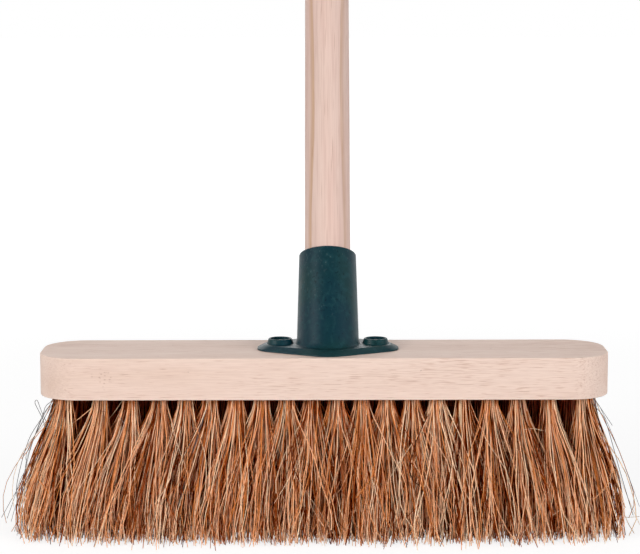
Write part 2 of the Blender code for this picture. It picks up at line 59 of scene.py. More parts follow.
# An edge stands upright when this share of its length does
UPRIGHT_SHARE = 0.999
# How close two heights count as the same, and two points as one
SAME_PLACE = 0.000001
MERGE_DISTANCE = 0.0000001
# Most of a noise's values lie between these
NOISE_SPAN = (0.3, 0.7)

Colour = tuple[float, float, float]
Vector3 = tuple[float, float, float]
Span = tuple[float, float]
Point = tuple[float, float]
Profile = list[Point]
Route = tuple[Vector3, ...]
Edges = list[bmesh.types.BMEdge]


class Slot(Enum):
    """The record's material slots."""

    HEAD_WOOD = "head_wood"
    HANDLE_WOOD = "handle_wood"
    BRACKET_PLASTIC = "bracket_plastic"
    SCREW_STEEL = "screw_steel"
    COIR = "coir"


class Row(Enum):
    """The rows of tufts, from the broom's front to its back."""

    FRONT = 0
    SECOND = 1
    MIDDLE = 2
    FOURTH = 3
    BACK = 4


class Section(Enum):
    """The three lengths that each row is made in."""

    LEFT = 0
    CENTRE = 1
    RIGHT = 2


class Side(Enum):
    """The two screw bosses, by the way they lie from the tube."""

    LEFT = -1
    RIGHT = 1


# Materials


class Wiring:
    """Short ways to add and join the nodes of a material or a world."""

    def __init__(self, tree: bpy.types.NodeTree) -> None:
        """Start from a node tree.

        Args:
            tree: the tree.
        """
        self.tree = tree

    def add(self, kind: str, **settings: object) -> bpy.types.Node:
        """Add one node.

        Args:
            kind: the node's type name.
            **settings: its properties.

        Returns:
            The new node.
        """
        node = self.tree.nodes.new(kind)
        for key, value in settings.items():
            setattr(node, key, value)
        return node

    def feed(self, socket: bpy.types.NodeSocket, value: object) -> None:
        """Give an input its value, from another node's output or as a plain number or colour.

        Args:
            socket: the input.
            value: an output socket, a number or a tuple.
        """
        if isinstance(value, bpy.types.NodeSocket):
            self.tree.links.new(value, socket)
        elif isinstance(value, tuple) and len(value) == 3 and socket.type == "RGBA":
            socket.default_value = (*value, 1.0)
        else:
            socket.default_value = value

    def ramp(
        self, value: bpy.types.NodeSocket, places: Sequence[float], colours: Sequence[Colour],
    ) -> bpy.types.NodeSocket:
        """Turn a value into a colour.

        Args:
            value: the number, from 0 to 1.
            places: where the colours lie, from 0 to 1.
            colours: the colours.

        Returns:
            The colour.
        """
        node = self.add("ShaderNodeValToRGB")
        self.feed(node.inputs["Fac"], value)
        elements = node.color_ramp.elements
        while len(elements) < len(places):
            elements.new(0.5)
        for element, spot, colour in zip(elements, places, colours):
            element.position = spot
            element.color = (*colour, 1.0)
        return node.outputs["Color"]

    def between(
        self, value: bpy.types.NodeSocket, low: float, high: float, start: float = 0.0, end: float = 1.0,
    ) -> bpy.types.NodeSocket:
        """Map a stretch of values smoothly onto another.

        Args:
            value: the number.
            low: where the stretch begins.
            high: where it ends.
            start: what low becomes.
            end: what high becomes.

        Returns:
            The mapped number.
        """
        node = self.add("ShaderNodeMapRange", interpolation_type="SMOOTHSTEP")
        for name, number in (
            ("Value", value), ("From Min", low), ("From Max", high), ("To Min", start), ("To Max", end),
        ):
            self.feed(node.inputs[name], number)
        return node.outputs["Result"]

    def sum(self, operation: str, *values: object) -> bpy.types.NodeSocket:
        """Do one sum on numbers.

        Args:
            operation: the Math node's operation.
            *values: outputs or plain numbers.

        Returns:
            The result.
        """
        node = self.add("ShaderNodeMath", operation=operation)
        for socket, value in zip(node.inputs, values):
            self.feed(socket, value)
        return node.outputs["Value"]

    def mixed(
        self, share: object, first: object, second: object, blend: str = "MIX",
    ) -> bpy.types.NodeSocket:
        """Mix two colours.

        Args:
            share: how much of the second.
            first: a colour.
            second: another colour.
            blend: the way that they mix.

        Returns:
            The mixed colour.
        """
        node = self.add("ShaderNodeMix", data_type="RGBA", blend_type=blend)
        self.feed(node.inputs[0], share)
        self.feed(node.inputs[6], first)
        self.feed(node.inputs[7], second)
        return node.outputs[2]

    def split(self, vector: bpy.types.NodeSocket) -> bpy.types.NodeOutputs:
        """Take a vector apart.

        Args:
            vector: the vector.

        Returns:
            Its X, Y and Z.
        """
        node = self.add("ShaderNodeSeparateXYZ")
        self.feed(node.inputs[0], vector)
        return node.outputs


@dataclass(frozen=True)
class Grain:
    """A noise: features per metre along each axis, how much finer detail it has, and how it is warped."""

    scale: Vector3
    detail: float = 2.0
    roughness: float = 0.5
    distortion: float = 0.0
    shift: Vector3 = (0.0, 0.0, 0.0)


class Finish(Wiring):
    """A material that is being wired up, on its object's own coordinates."""

    def __init__(self, name: str) -> None:
        """Start a material.

        Args:
            name: the material's name.
        """
        self.material = bpy.data.materials.new(name)
        self.material.use_nodes = True
        super().__init__(self.material.node_tree)
        self.shader = self.tree.nodes["Principled BSDF"]
        self.place = self.add("ShaderNodeTexCoord").outputs["Object"]

    @property
    def axes(self) -> bpy.types.NodeOutputs:
        """The object's own X, Y and Z."""
        return self.split(self.place)

    def mapped(
        self, scale: Vector3, source: bpy.types.NodeSocket | None = None,
        turn: Vector3 = (0.0, 0.0, 0.0), shift: Vector3 = (0.0, 0.0, 0.0),
    ) -> bpy.types.NodeSocket:
        """Stretch, turn and shift the coordinates.

        Args:
            scale: features per metre along each axis.
            source: the coordinates, or None for the object's own.
            turn: the turn about each axis, in radians.
            shift: the shift, after the turn.

        Returns:
            The new coordinates.
        """
        node = self.add("ShaderNodeMapping")
        self.feed(node.inputs["Vector"], source or self.place)
        for name, value in (("Scale", scale), ("Rotation", turn), ("Location", shift)):
            node.inputs[name].default_value = value
        return node.outputs["Vector"]

    def grain(self, grain: Grain, source: bpy.types.NodeSocket | None = None) -> bpy.types.NodeSocket:
        """Add a noise.

        Args:
            grain: what it is like.
            source: the coordinates, or None for the object's own.

        Returns:
            The noise, from 0 to 1.
        """
        node = self.add("ShaderNodeTexNoise")
        self.feed(node.inputs["Vector"], self.mapped(grain.scale, source, shift=grain.shift))
        for name, value in (
            ("Scale", 1.0), ("Detail", grain.detail), ("Roughness", grain.roughness),
            ("Distortion", grain.distortion),
        ):
            node.inputs[name].default_value = value
        return node.outputs[0]

    def shaded(self, share: object, colour: object, shade: Colour) -> bpy.types.NodeSocket:
        """Multiply a share of a colour by a shade."""
        return self.mixed(share, colour, shade, "MULTIPLY")

    def attribute(self, name: str) -> bpy.types.NodeSocket:
        """Read a number that the mesh keeps at its vertices."""
        return self.add("ShaderNodeAttribute", attribute_name=name).outputs["Fac"]

    def bumped(self, height: object, distance: float, strength: float = 0.6) -> None:
        """Give the surface its fine relief.

        Args:
            height: the relief, from 0 to 1.
            distance: its depth in metres.
            strength: how much of it counts.
        """
        node = self.add("ShaderNodeBump")
        self.feed(node.inputs["Height"], height)
        node.inputs["Distance"].default_value = distance
        node.inputs["Strength"].default_value = strength
        self.feed(self.shader.inputs["Normal"], node.outputs["Normal"])

    def finish(self, colour: object, roughness: object, specular: float = 0.5, metallic: float = 0.0) -> None:
        """Set the shader's main inputs.

        Args:
            colour: the base colour.
            roughness: the roughness.
            specular: how strongly it reflects.
            metallic: 1 for bare metal.
        """
        self.feed(self.shader.inputs["Base Color"], colour)
        self.feed(self.shader.inputs["Roughness"], roughness)
        self.shader.inputs["Specular IOR Level"].default_value = specular
        self.shader.inputs["Metallic"].default_value = metallic


@dataclass(frozen=True)
class BlockWood:
    """Planed, unvarnished pale hardwood whose grain runs along the block.

    A span is the stretch of a noise, or of a place, over which a mark comes in.
    """

    pale: Colour = (0.870, 0.690, 0.600)
    middle: Colour = (0.845, 0.655, 0.565)
    warm: Colour = (0.795, 0.600, 0.505)
    figure: Grain = Grain((6.0, 55.0, 55.0), detail=3.0, distortion=0.4)
    figure_places: tuple[float, ...] = (0.28, 0.48, 0.66)
    fibres: Grain = Grain((55.0, 1100.0, 1100.0), detail=3.0, roughness=0.6)
    fibre_span: Span = (0.60, 0.40)
    fibre_shade: Colour = (0.945, 0.927, 0.920)
    dashes: Grain = Grain((100.0, 2300.0, 2300.0), detail=1.5, distortion=0.3)
    dash_span: Span = (0.0, 0.10)
    dash_shade: Colour = (0.93, 0.89, 0.87)
    patches: Grain = Grain((11.0, 70.0, 70.0), detail=1.0, shift=(3.0, 7.0, 1.0))
    patch_span: Span = (0.34, 0.66)
    patch_edge: Span = (0.60, 0.50)
    rightward_span: Span = (-0.12, 0.16)
    rightward_edge: Span = (0.02, -0.03)
    pore_span: Span = (0.08, 0.14)
    pore_shade: Colour = (0.88, 0.83, 0.81)
    pore_depth: float = 0.8
    specks: Grain = Grain((260.0, 420.0, 420.0), shift=(5.0, 2.0, 9.0))
    speck_span: Span = (0.765, 0.80)
    speck: Colour = (0.36, 0.22, 0.16)
    pin_scale: Vector3 = (430.0, 430.0, 620.0)
    pin_turn: Vector3 = (0.0, 0.5, 0.0)
    pin_span: Span = (0.30, 0.16)
    pin_shade: Colour = (0.82, 0.75, 0.72)
    pin_place: Vector3 = (-0.1175, -0.0300, 0.0838)
    pin_reach: float = 0.0075
    # A pale band just above the bottom edge is a painted highlight, where that edge catches the light
    edge_highlight_span: Span = (0.0734, 0.0728)
    edge_highlight_share: float = 0.6
    roughness: Span = (0.66, 0.56)
    specular: float = 0.20
    relief: float = 0.00007

    def material(self) -> bpy.types.Material:
        """Wire up the wood: broad figure, fine fibres, short pores in patches, a few dark specks and a
        painted highlight along the bottom edge.

        Returns:
            The material.
        """
        kit = Finish("planed_block_wood")
        colour = kit.ramp(kit.grain(self.figure), self.figure_places, (self.warm, self.middle, self.pale))
        fibres = kit.grain(self.fibres)
        colour = kit.shaded(kit.between(fibres, *self.fibre_span), colour, self.fibre_shade)
        edge = kit.between(kit.grain(self.patches), *self.patch_span, *self.patch_edge)
        rightwards = kit.between(kit.axes["X"], *self.rightward_span, *self.rightward_edge)
        depth = kit.sum("SUBTRACT", kit.grain(self.dashes), kit.sum("ADD", edge, rightwards))
        colour = kit.shaded(kit.between(depth, *self.dash_span), colour, self.dash_shade)
        pores = kit.between(depth, *self.pore_span)
        colour = kit.shaded(pores, colour, self.pore_shade)
        colour = kit.shaded(self.pins(kit), colour, self.pin_shade)
        # Painted highlight: the wood turns paler along the block's bottom edge
        edge_highlight = kit.between(kit.axes["Z"], *self.edge_highlight_span, 0.0, self.edge_highlight_share)
        colour = kit.mixed(edge_highlight, colour, self.pale)
        colour = kit.mixed(kit.between(kit.grain(self.specks), *self.speck_span), colour, self.speck)
        kit.finish(colour, kit.between(fibres, *NOISE_SPAN, *self.roughness), self.specular)
        kit.bumped(kit.sum("SUBTRACT", fibres, kit.sum("MULTIPLY", pores, self.pore_depth)), self.relief)
        return kit.material

    def pins(self, kit: Finish) -> bpy.types.NodeSocket:
        """Mark the patch of pin-sized knots near the front's left end.

        Args:
            kit: the material.

        Returns:
            The patch, as a mask.
        """
        dots = kit.add("ShaderNodeTexVoronoi")
        kit.feed(dots.inputs["Vector"], kit.mapped(self.pin_scale, turn=self.pin_turn))
        dots.inputs["Scale"].default_value = 1.0
        away = kit.add("ShaderNodeVectorMath", operation="DISTANCE")
        kit.feed(away.inputs[0], kit.place)
        away.inputs[1].default_value = self.pin_place
        inside = kit.between(away.outputs["Value"], self.pin_reach, 0.5 * self.pin_reach)
        return kit.sum("MULTIPLY", kit.between(dots.outputs["Distance"], *self.pin_span), inside)


@dataclass(frozen=True)
class HandleWood:
    """Flat-sawn softwood rod: growth rings cut lengthwise show as long bands along it."""

    early: Colour = (0.750, 0.560, 0.487)
    blush: Colour = (0.750, 0.533, 0.462)
    late: Colour = (0.590, 0.360, 0.212)
    late_share: float = 0.72
    sheen: Colour = (0.93, 0.92, 1.00)
    sheen_weight: float = 0.27
    pith_distance: float = 0.030
    ring_spacing: float = 0.0060
    ring_start: float = 0.00476
    ring_rise: Span = (0.60, 0.86)
    ring_fall: Span = (0.955, 0.915)
    rightward_span: Span = (-0.002, 0.010)
    rightward_fade: Span = (1.0, 0.65)
    wave_height: float = 0.0006
    wave_length: float = 0.200
    wave_start: float = 0.104
    drift: Grain = Grain((45.0, 45.0, 12.0))
    wander: float = 0.0012
    clouds: Grain = Grain((60.0, 60.0, 9.0), detail=3.0)
    cloud_span: Span = (0.35, 0.65)
    streaks: Grain = Grain((1500.0, 1500.0, 26.0), detail=2.5, roughness=0.6, distortion=0.25)
    streak_span: Span = (0.58, 0.36)
    streak_shade: Colour = (0.910, 0.870, 0.860)
    lines: Grain = Grain((1900.0, 1900.0, 42.0), detail=1.0)
    line_span: Span = (0.64, 0.74)
    line_shade: Colour = (0.80, 0.73, 0.69)
    roughness: Span = (0.60, 0.50)
    specular: float = 0.28
    relief: float = 0.00005

    def material(self, placing: Matrix) -> bpy.types.Material:
        """Wire up the wood in the handle's own frame.

        Args:
            placing: the handle's frame, Z along it.

        Returns:
            The material.
        """
        kit = Finish("handle_wood_rod")
        back = placing.inverted()
        own = kit.mapped((1.0, 1.0, 1.0), turn=tuple(back.to_euler("XYZ")), shift=tuple(back.translation))
        ring = self.rings(kit, own)
        clouds = kit.between(kit.grain(self.clouds, own), *self.cloud_span)
        colour = kit.mixed(clouds, self.early, self.blush)
        colour = kit.mixed(kit.sum("MULTIPLY", ring, self.late_share), colour, self.late)
        streaks = kit.grain(self.streaks, own)
        colour = kit.shaded(kit.between(streaks, *self.streak_span), colour, self.streak_shade)
        lines = kit.between(kit.grain(self.lines, own), *self.line_span)
        colour = kit.shaded(lines, colour, self.line_shade)
        kit.finish(colour, kit.between(streaks, *NOISE_SPAN, *self.roughness), self.specular)
        kit.shader.inputs["Sheen Weight"].default_value = self.sheen_weight
        kit.feed(kit.shader.inputs["Sheen Tint"], self.sheen)
        kit.bumped(streaks, self.relief)
        return kit.material

    def rings(self, kit: Finish, own: bpy.types.NodeSocket) -> bpy.types.NodeSocket:
        """Mark the late wood: rings round a pith that lies behind the rod and waves along it.

        Args:
            kit: the material.
            own: the handle's own coordinates.

        Returns:
            The rings, as a mask that fades to the right.
        """
        spot = kit.split(own)
        depth = kit.sum("SUBTRACT", spot["Y"], self.pith_distance)
        squares = kit.sum("MULTIPLY_ADD", spot["X"], spot["X"], kit.sum("MULTIPLY", depth, depth))
        along = kit.sum("SUBTRACT", spot["Z"], self.wave_start)
        turns = kit.sum("MULTIPLY", along, math.tau / self.wave_length)
        wave = kit.sum("MULTIPLY", kit.sum("SINE", turns), self.wave_height)
        radius = kit.sum("SUBTRACT", kit.sum("SQRT", squares), wave)
        drift = kit.sum("SUBTRACT", kit.grain(self.drift, own), 0.5)
        radius = kit.sum("MULTIPLY_ADD", drift, self.wander, radius)
        rings = kit.sum("DIVIDE", kit.sum("SUBTRACT", radius, self.ring_start), self.ring_spacing)
        phase = kit.sum("FRACT", rings)
        late = kit.sum("MULTIPLY", kit.between(phase, *self.ring_rise), kit.between(phase, *self.ring_fall))
        fade = kit.between(spot["X"], *self.rightward_span, *self.rightward_fade)
        return kit.sum("MULTIPLY", late, fade)


@dataclass(frozen=True)
class MouldedPlastic:
    """Dark blue-green moulded plastic, mottled, faintly flecked and a little scuffed, with painted shade low
    down on the flange.
    """

    deep: Colour = (0.0022, 0.0262, 0.0395)
    green: Colour = (0.0044, 0.0332, 0.0355)
    soft: Colour = (0.0084, 0.0462, 0.0555)
    broad: Grain = Grain((34.0, 34.0, 22.0), shift=(2.0, 5.0, 3.0))
    broad_span: Span = (0.40, 0.62)
    mottle: Grain = Grain((260.0, 260.0, 200.0), detail=5.0, roughness=0.7, distortion=0.6)
    mottle_span: Span = (0.46, 0.70)
    spots: Grain = Grain((620.0, 620.0, 520.0), detail=1.0, shift=(6.0, 3.0, 2.0))
    spot_span: Span = (0.64, 0.72)
    spot_shade: Colour = (0.35, 0.60, 0.65)
    rubs: Grain = Grain((900.0, 900.0, 240.0), roughness=0.6)
    rub_span: Span = (0.60, 0.74)
    rub_share: float = 0.55
    rubbed: Grain = Grain((45.0, 45.0, 45.0), shift=(4.0, 1.0, 8.0))
    rubbed_span: Span = (0.46, 0.66)
    scuff: Colour = (0.090, 0.135, 0.140)
    # Painted shade: the flange and the feet of the tube and bosses are darkened
    flange_shadow_span: Span = (0.1000, 0.0975)
    flange_shadow: Colour = (0.82, 0.94, 0.95)
    grit: Grain = Grain((2200.0, 2200.0, 2200.0))
    grit_share: float = 0.35
    roughness: Span = (0.36, 0.50)
    specular: float = 0.26
    relief: float = 0.00016

    def material(self) -> bpy.types.Material:
        """Wire up the plastic: mottling in two tones, fine scuffs, painted shade on the flange and the
        mould's faint texture.

        Returns:
            The material.
        """
        kit = Finish("moulded_plastic")
        mottle = kit.grain(self.mottle)
        colour = kit.mixed(kit.between(kit.grain(self.broad), *self.broad_span), self.deep, self.green)
        colour = kit.mixed(kit.between(mottle, *self.mottle_span), colour, self.soft)
        colour = kit.shaded(kit.between(kit.grain(self.spots), *self.spot_span), colour, self.spot_shade)
        rubs = kit.between(kit.grain(self.rubs), *self.rub_span)
        rubs = kit.sum("MULTIPLY", rubs, kit.between(kit.grain(self.rubbed), *self.rubbed_span))
        colour = kit.mixed(kit.sum("MULTIPLY", rubs, self.rub_share), colour, self.scuff)
        # Painted shade: everything below the boss tops darkens towards the flange
        colour = kit.shaded(kit.between(kit.axes["Z"], *self.flange_shadow_span), colour, self.flange_shadow)
        kit.finish(colour, kit.between(mottle, *NOISE_SPAN, *self.roughness), self.specular)
        kit.bumped(kit.sum("MULTIPLY_ADD", kit.grain(self.grit), self.grit_share, mottle), self.relief)
        return kit.material


@dataclass(frozen=True)
class ZincSteel:
    """Zinc-plated screw steel with fine turning marks and dull patches."""

    bright: Colour = (0.50, 0.50, 0.48)
    dull: Colour = (0.31, 0.31, 0.30)
    patches: Grain = Grain((420.0, 420.0, 420.0), detail=3.0)
    patch_places: Span = (0.38, 0.62)
    marks: Grain = Grain((2600.0, 2600.0, 9000.0), detail=1.0)
    roughness: Span = (0.50, 0.34)
    relief: float = 0.00002
    relief_strength: float = 0.5

    def material(self) -> bpy.types.Material:
        """Wire up the steel.

        Returns:
            The material.
        """
        kit = Finish("zinc_plated_steel")
        patches = kit.grain(self.patches)
        colour = kit.ramp(patches, self.patch_places, (self.dull, self.bright))
        kit.finish(colour, kit.between(patches, *NOISE_SPAN, *self.roughness), metallic=1.0)
        kit.bumped(kit.grain(self.marks), self.relief, self.relief_strength)
        return kit.material


@dataclass(frozen=True)
class CoirFibre:
    """Coconut fibre: each strand has a tone of its own, from dark red-brown to straw."""

    darkest: Colour = (0.062, 0.004, 0.0002)
    dark: Colour = (0.275, 0.046, 0.0050)
    middle: Colour = (0.740, 0.252, 0.066)
    light: Colour = (1.000, 0.520, 0.276)
    straw: Colour = (1.000, 0.735, 0.490)
    tone_places: tuple[float, ...] = (0.05, 0.30, 0.52, 0.76, 0.97)
    rosy: Colour = (1.00, 0.96, 1.01)
    # Painted shadow colour for the inner rows' roots
    painted_root_shade: Colour = (0.65, 0.32, 0.28)
    # Painted light: the grey that the white backdrop lends thin stray fibres
    backdrop_grey_colour: Colour = (0.210, 0.195, 0.200)
    lengths: Grain = Grain((160.0, 160.0, 60.0))
    length_tone: float = 0.26
    # Painted light: the fibres turn lighter towards their roots, lifting the shadow under the block
    root_span: Span = (0.040, 0.070)
    root_tone: float = 0.05
    # The fibres turn lighter towards their trimmed tips, which eases the inner rows' painted shade at the
    # foot
    tip_lift_span: Span = (0.011, 0.001)
    tip_lift_tone: float = 0.08
    deep_rows: Span = (0.0185, 0.0150)
    deep_ends: Span = (0.1375, 0.1345)
    deep_height: Span = (0.036, 0.059)
    ridges: Grain = Grain((3000.0, 3000.0, 500.0), detail=1.0)
    roughness: float = 0.60
    relief: float = 0.00006

    def material(self) -> bpy.types.Material:
        """Wire up the fibre's colour from its own tone, with lighter and darker lengths along it, painted
        light near the roots and painted shade among the inner rows' roots.

        Returns:
            The material.
        """
        kit = Finish("coir_fibre")
        tone = kit.sum("SUBTRACT", kit.attribute("tone"), self.length_tone / 2)
        tone = kit.sum("MULTIPLY_ADD", kit.grain(self.lengths), self.length_tone, tone)
        # Painted light lifts the tone near the roots, and the tone is lifted towards the tips too
        for span, lift in ((self.root_span, self.root_tone), (self.tip_lift_span, self.tip_lift_tone)):
            tone = kit.sum("ADD", tone, kit.between(kit.axes["Z"], *span, 0.0, lift))
        tones = (self.darkest, self.dark, self.middle, self.light, self.straw)
        colour = kit.ramp(tone, self.tone_places, tones)
        colour = kit.shaded(kit.attribute("hue"), colour, self.rosy)
        # Painted shadow: the inner rows darken towards their roots
        colour = kit.shaded(self.depth(kit), colour, self.painted_root_shade)
        # Painted light: stray fibres are mixed to grey, standing for the white backdrop round thin fibres
        colour = kit.mixed(kit.attribute("backdrop_grey"), colour, self.backdrop_grey_colour)
        kit.finish(colour, self.roughness, specular=0.0)
        kit.bumped(kit.grain(self.ridges), self.relief)
        return kit.material

    def depth(self, kit: Finish) -> bpy.types.NodeSocket:
        """Mask the painted shadow among the inner rows' roots, deep inside the broom's head.

        Args:
            kit: the material.

        Returns:
            A mask, which is 1 among the inner rows' roots, where the shadow is painted.
        """
        spot = kit.axes
        inside = kit.between(kit.sum("ABSOLUTE", spot["Y"]), *self.deep_rows)
        inside = kit.sum("MULTIPLY", inside, kit.between(kit.sum("ABSOLUTE", spot["X"]), *self.deep_ends))
        return kit.sum("MULTIPLY", inside, kit.between(spot["Z"], *self.deep_height))


# Modelling helpers


def link(name: str, data: bpy.types.ID) -> bpy.types.Object:
    """Put new data into the scene as an object.

    Args:
        name: the object's name.
        data: its mesh, curve, light or camera.

    Returns:
        The object.
    """
    thing = bpy.data.objects.new(name, data)
    bpy.context.scene.collection.objects.link(thing)
    return thing


def shade(data: bpy.types.Mesh, smooth_below: float) -> None:
    """Shade a mesh softly, with sharp edges where it turns by the angle, in degrees, or more."""
    data.shade_smooth()
    data.set_sharp_from_angle(angle=math.radians(smooth_below))


def object_of(name: str, mesh: bmesh.types.BMesh, smooth_below: float = SMOOTH_BELOW) -> bpy.types.Object:
    """Turn a finished bmesh into an object with soft shading and its sharp edges kept.

    Args:
        name: the object's name.
        mesh: the mesh, which is freed.
        smooth_below: edges flatter than this angle, in degrees, shade softly.

    Returns:
        The object.
    """
    bmesh.ops.recalc_face_normals(mesh, faces=mesh.faces)
    data = bpy.data.meshes.new(name)
    mesh.to_mesh(data)
    mesh.free()
    shade(data, smooth_below)
    return link(name, data)


def combine(thing: bpy.types.Object, others: Iterable[tuple[str, bpy.types.Object]]) -> None:
    """Join and cut a piece by exact Booleans, then drop the shapes that were used.

    Args:
        thing: the piece.
        others: pairs of operation and shape, in order.
    """
    used = list(others)
    for operation, other in used:
        step = thing.modifiers.new(other.name, "BOOLEAN")
        step.solver = "EXACT"
        step.operation = operation
        step.object = other
    settle(thing)
    for _, other in used:
        data = other.data
        bpy.data.objects.remove(other)
        bpy.data.meshes.remove(data)


def evaluated(thing: bpy.types.Object) -> bpy.types.Mesh:
    """Take an object's mesh as it shows, with its modifiers or its curve's bevel.

    Args:
        thing: the object.

    Returns:
        A new mesh.
    """
    depsgraph = bpy.context.evaluated_depsgraph_get()
    depsgraph.update()
    return bpy.data.meshes.new_from_object(thing.evaluated_get(depsgraph), depsgraph=depsgraph)


def settle(thing: bpy.types.Object) -> None:
    """Apply a piece's modifiers, so that its mesh is what shows.

    Args:
        thing: the piece.
    """
    old = thing.data
    data = evaluated(thing)
    data.name = thing.name
    thing.modifiers.clear()
    thing.data = data
    if old.users == 0:
        bpy.data.meshes.remove(old)


def soften(thing: bpy.types.Object, smooth_below: float = SMOOTH_BELOW) -> None:
    """Shade broad flats flat and narrow rounds round.

    Args:
        thing: the piece.
        smooth_below: edges flatter than this angle, in degrees, shade softly.
    """
    shade(thing.data, smooth_below)
    thing.modifiers.new("weighted", "WEIGHTED_NORMAL").keep_sharp = True
    settle(thing)


def dress(
    thing: bpy.types.Object, material: bpy.types.Material, replaces: Sequence[str] = (),
) -> bpy.types.Object:
    """Give a piece its material, its body and the solids that it stands for.

    Args:
        thing: the piece.
        material: its finish.
        replaces: the solids that it stands for.

    Returns:
        The piece.
    """
    thing.data.materials.clear()
    thing.data.materials.append(material)
    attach(thing, BODY)
    if replaces:
        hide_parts(*replaces)
    LOG.info("%s: %d faces", thing.name, len(thing.data.polygons))
    return thing


def round_off(mesh: bmesh.types.BMesh, edges: Edges, width: float, steps: int) -> None:
    """Round some edges.

    Args:
        mesh: the mesh.
        edges: its edges.
        width: how far the round reaches.
        steps: how many faces it has across.
    """
    bmesh.ops.bevel(
        mesh, geom=edges, offset=width, offset_type="OFFSET", segments=steps, profile=0.5, affect="EDGES",
        clamp_overlap=True, material=-1,
    )


def upright(mesh: bmesh.types.BMesh) -> Edges:
    """The edges that run straight up."""
    ways = [(edge, (edge.verts[0].co - edge.verts[1].co).normalized()) for edge in mesh.edges]
    return [edge for edge, way in ways if abs(way.z) > UPRIGHT_SHARE]


def level_at(mesh: bmesh.types.BMesh, height: float) -> Edges:
    """The edges that lie at one height."""
    return [edge for edge in mesh.edges if all(abs(end.co.z - height) < SAME_PLACE for end in edge.verts)]


def quarter(steps: int, first: int = 0) -> list[float]:
    """The angles that divide a quarter turn into steps, from the first one on."""
    return [math.pi / 2 * step / steps for step in range(first, steps + 1)]


def arc(centre: Point, radius: float, start: float, end: float, steps: int) -> Profile:
    """Points on an arc of a profile.

    Args:
        centre: the arc's centre, as radius and height.
        radius: its own radius.
        start: the angle it starts at, in degrees from outwards to up.
        end: the angle it ends at.
        steps: how many pieces it has.

    Returns:
        The points, both ends included.
    """
    turns = [math.radians(start + (end - start) * step / steps) for step in range(steps + 1)]
    return [(centre[0] + radius * math.cos(turn), centre[1] + radius * math.sin(turn)) for turn in turns]


def turned(profile: Profile, steps: int) -> bmesh.types.BMesh:
    """Spin a profile round the Z axis.

    Args:
        profile: pairs of radius and height, from one end on the axis to the other.
        steps: how many faces it has round it.

    Returns:
        The closed mesh.
    """
    mesh = bmesh.new()
    points = [mesh.verts.new((radius, 0.0, height)) for radius, height in profile]
    edges = [mesh.edges.new(pair) for pair in zip(points, points[1:])]
    bmesh.ops.spin(
        mesh, geom=points + edges, cent=(0, 0, 0), axis=(0, 0, 1), angle=math.tau, steps=steps,
        use_merge=True,
    )
    bmesh.ops.remove_doubles(mesh, verts=mesh.verts, dist=MERGE_DISTANCE)
    bmesh.ops.recalc_face_normals(mesh, faces=mesh.faces)
    return mesh


def lofted(rings: Sequence[Sequence[Vector]]) -> bmesh.types.BMesh:
    """Skin a row of rings and close both ends.

    Args:
        rings: rings of points, each with as many as the first.

    Returns:
        The closed mesh.
    """
    mesh = bmesh.new()
    loops = []
    for ring in rings:
        circle = bmesh.ops.create_circle(mesh, segments=len(ring), radius=1.0)["verts"]
        for corner, point in zip(circle, ring):
            corner.co = point
        loops.append([edge for edge in mesh.edges if edge.verts[0] in circle])
    for near, far in zip(loops, loops[1:]):
        bmesh.ops.bridge_loops(mesh, edges=near + far)
    for end in (loops[0], loops[-1]):
        bmesh.ops.edgeloop_fill(mesh, edges=end)
    return mesh


# The broom's pieces


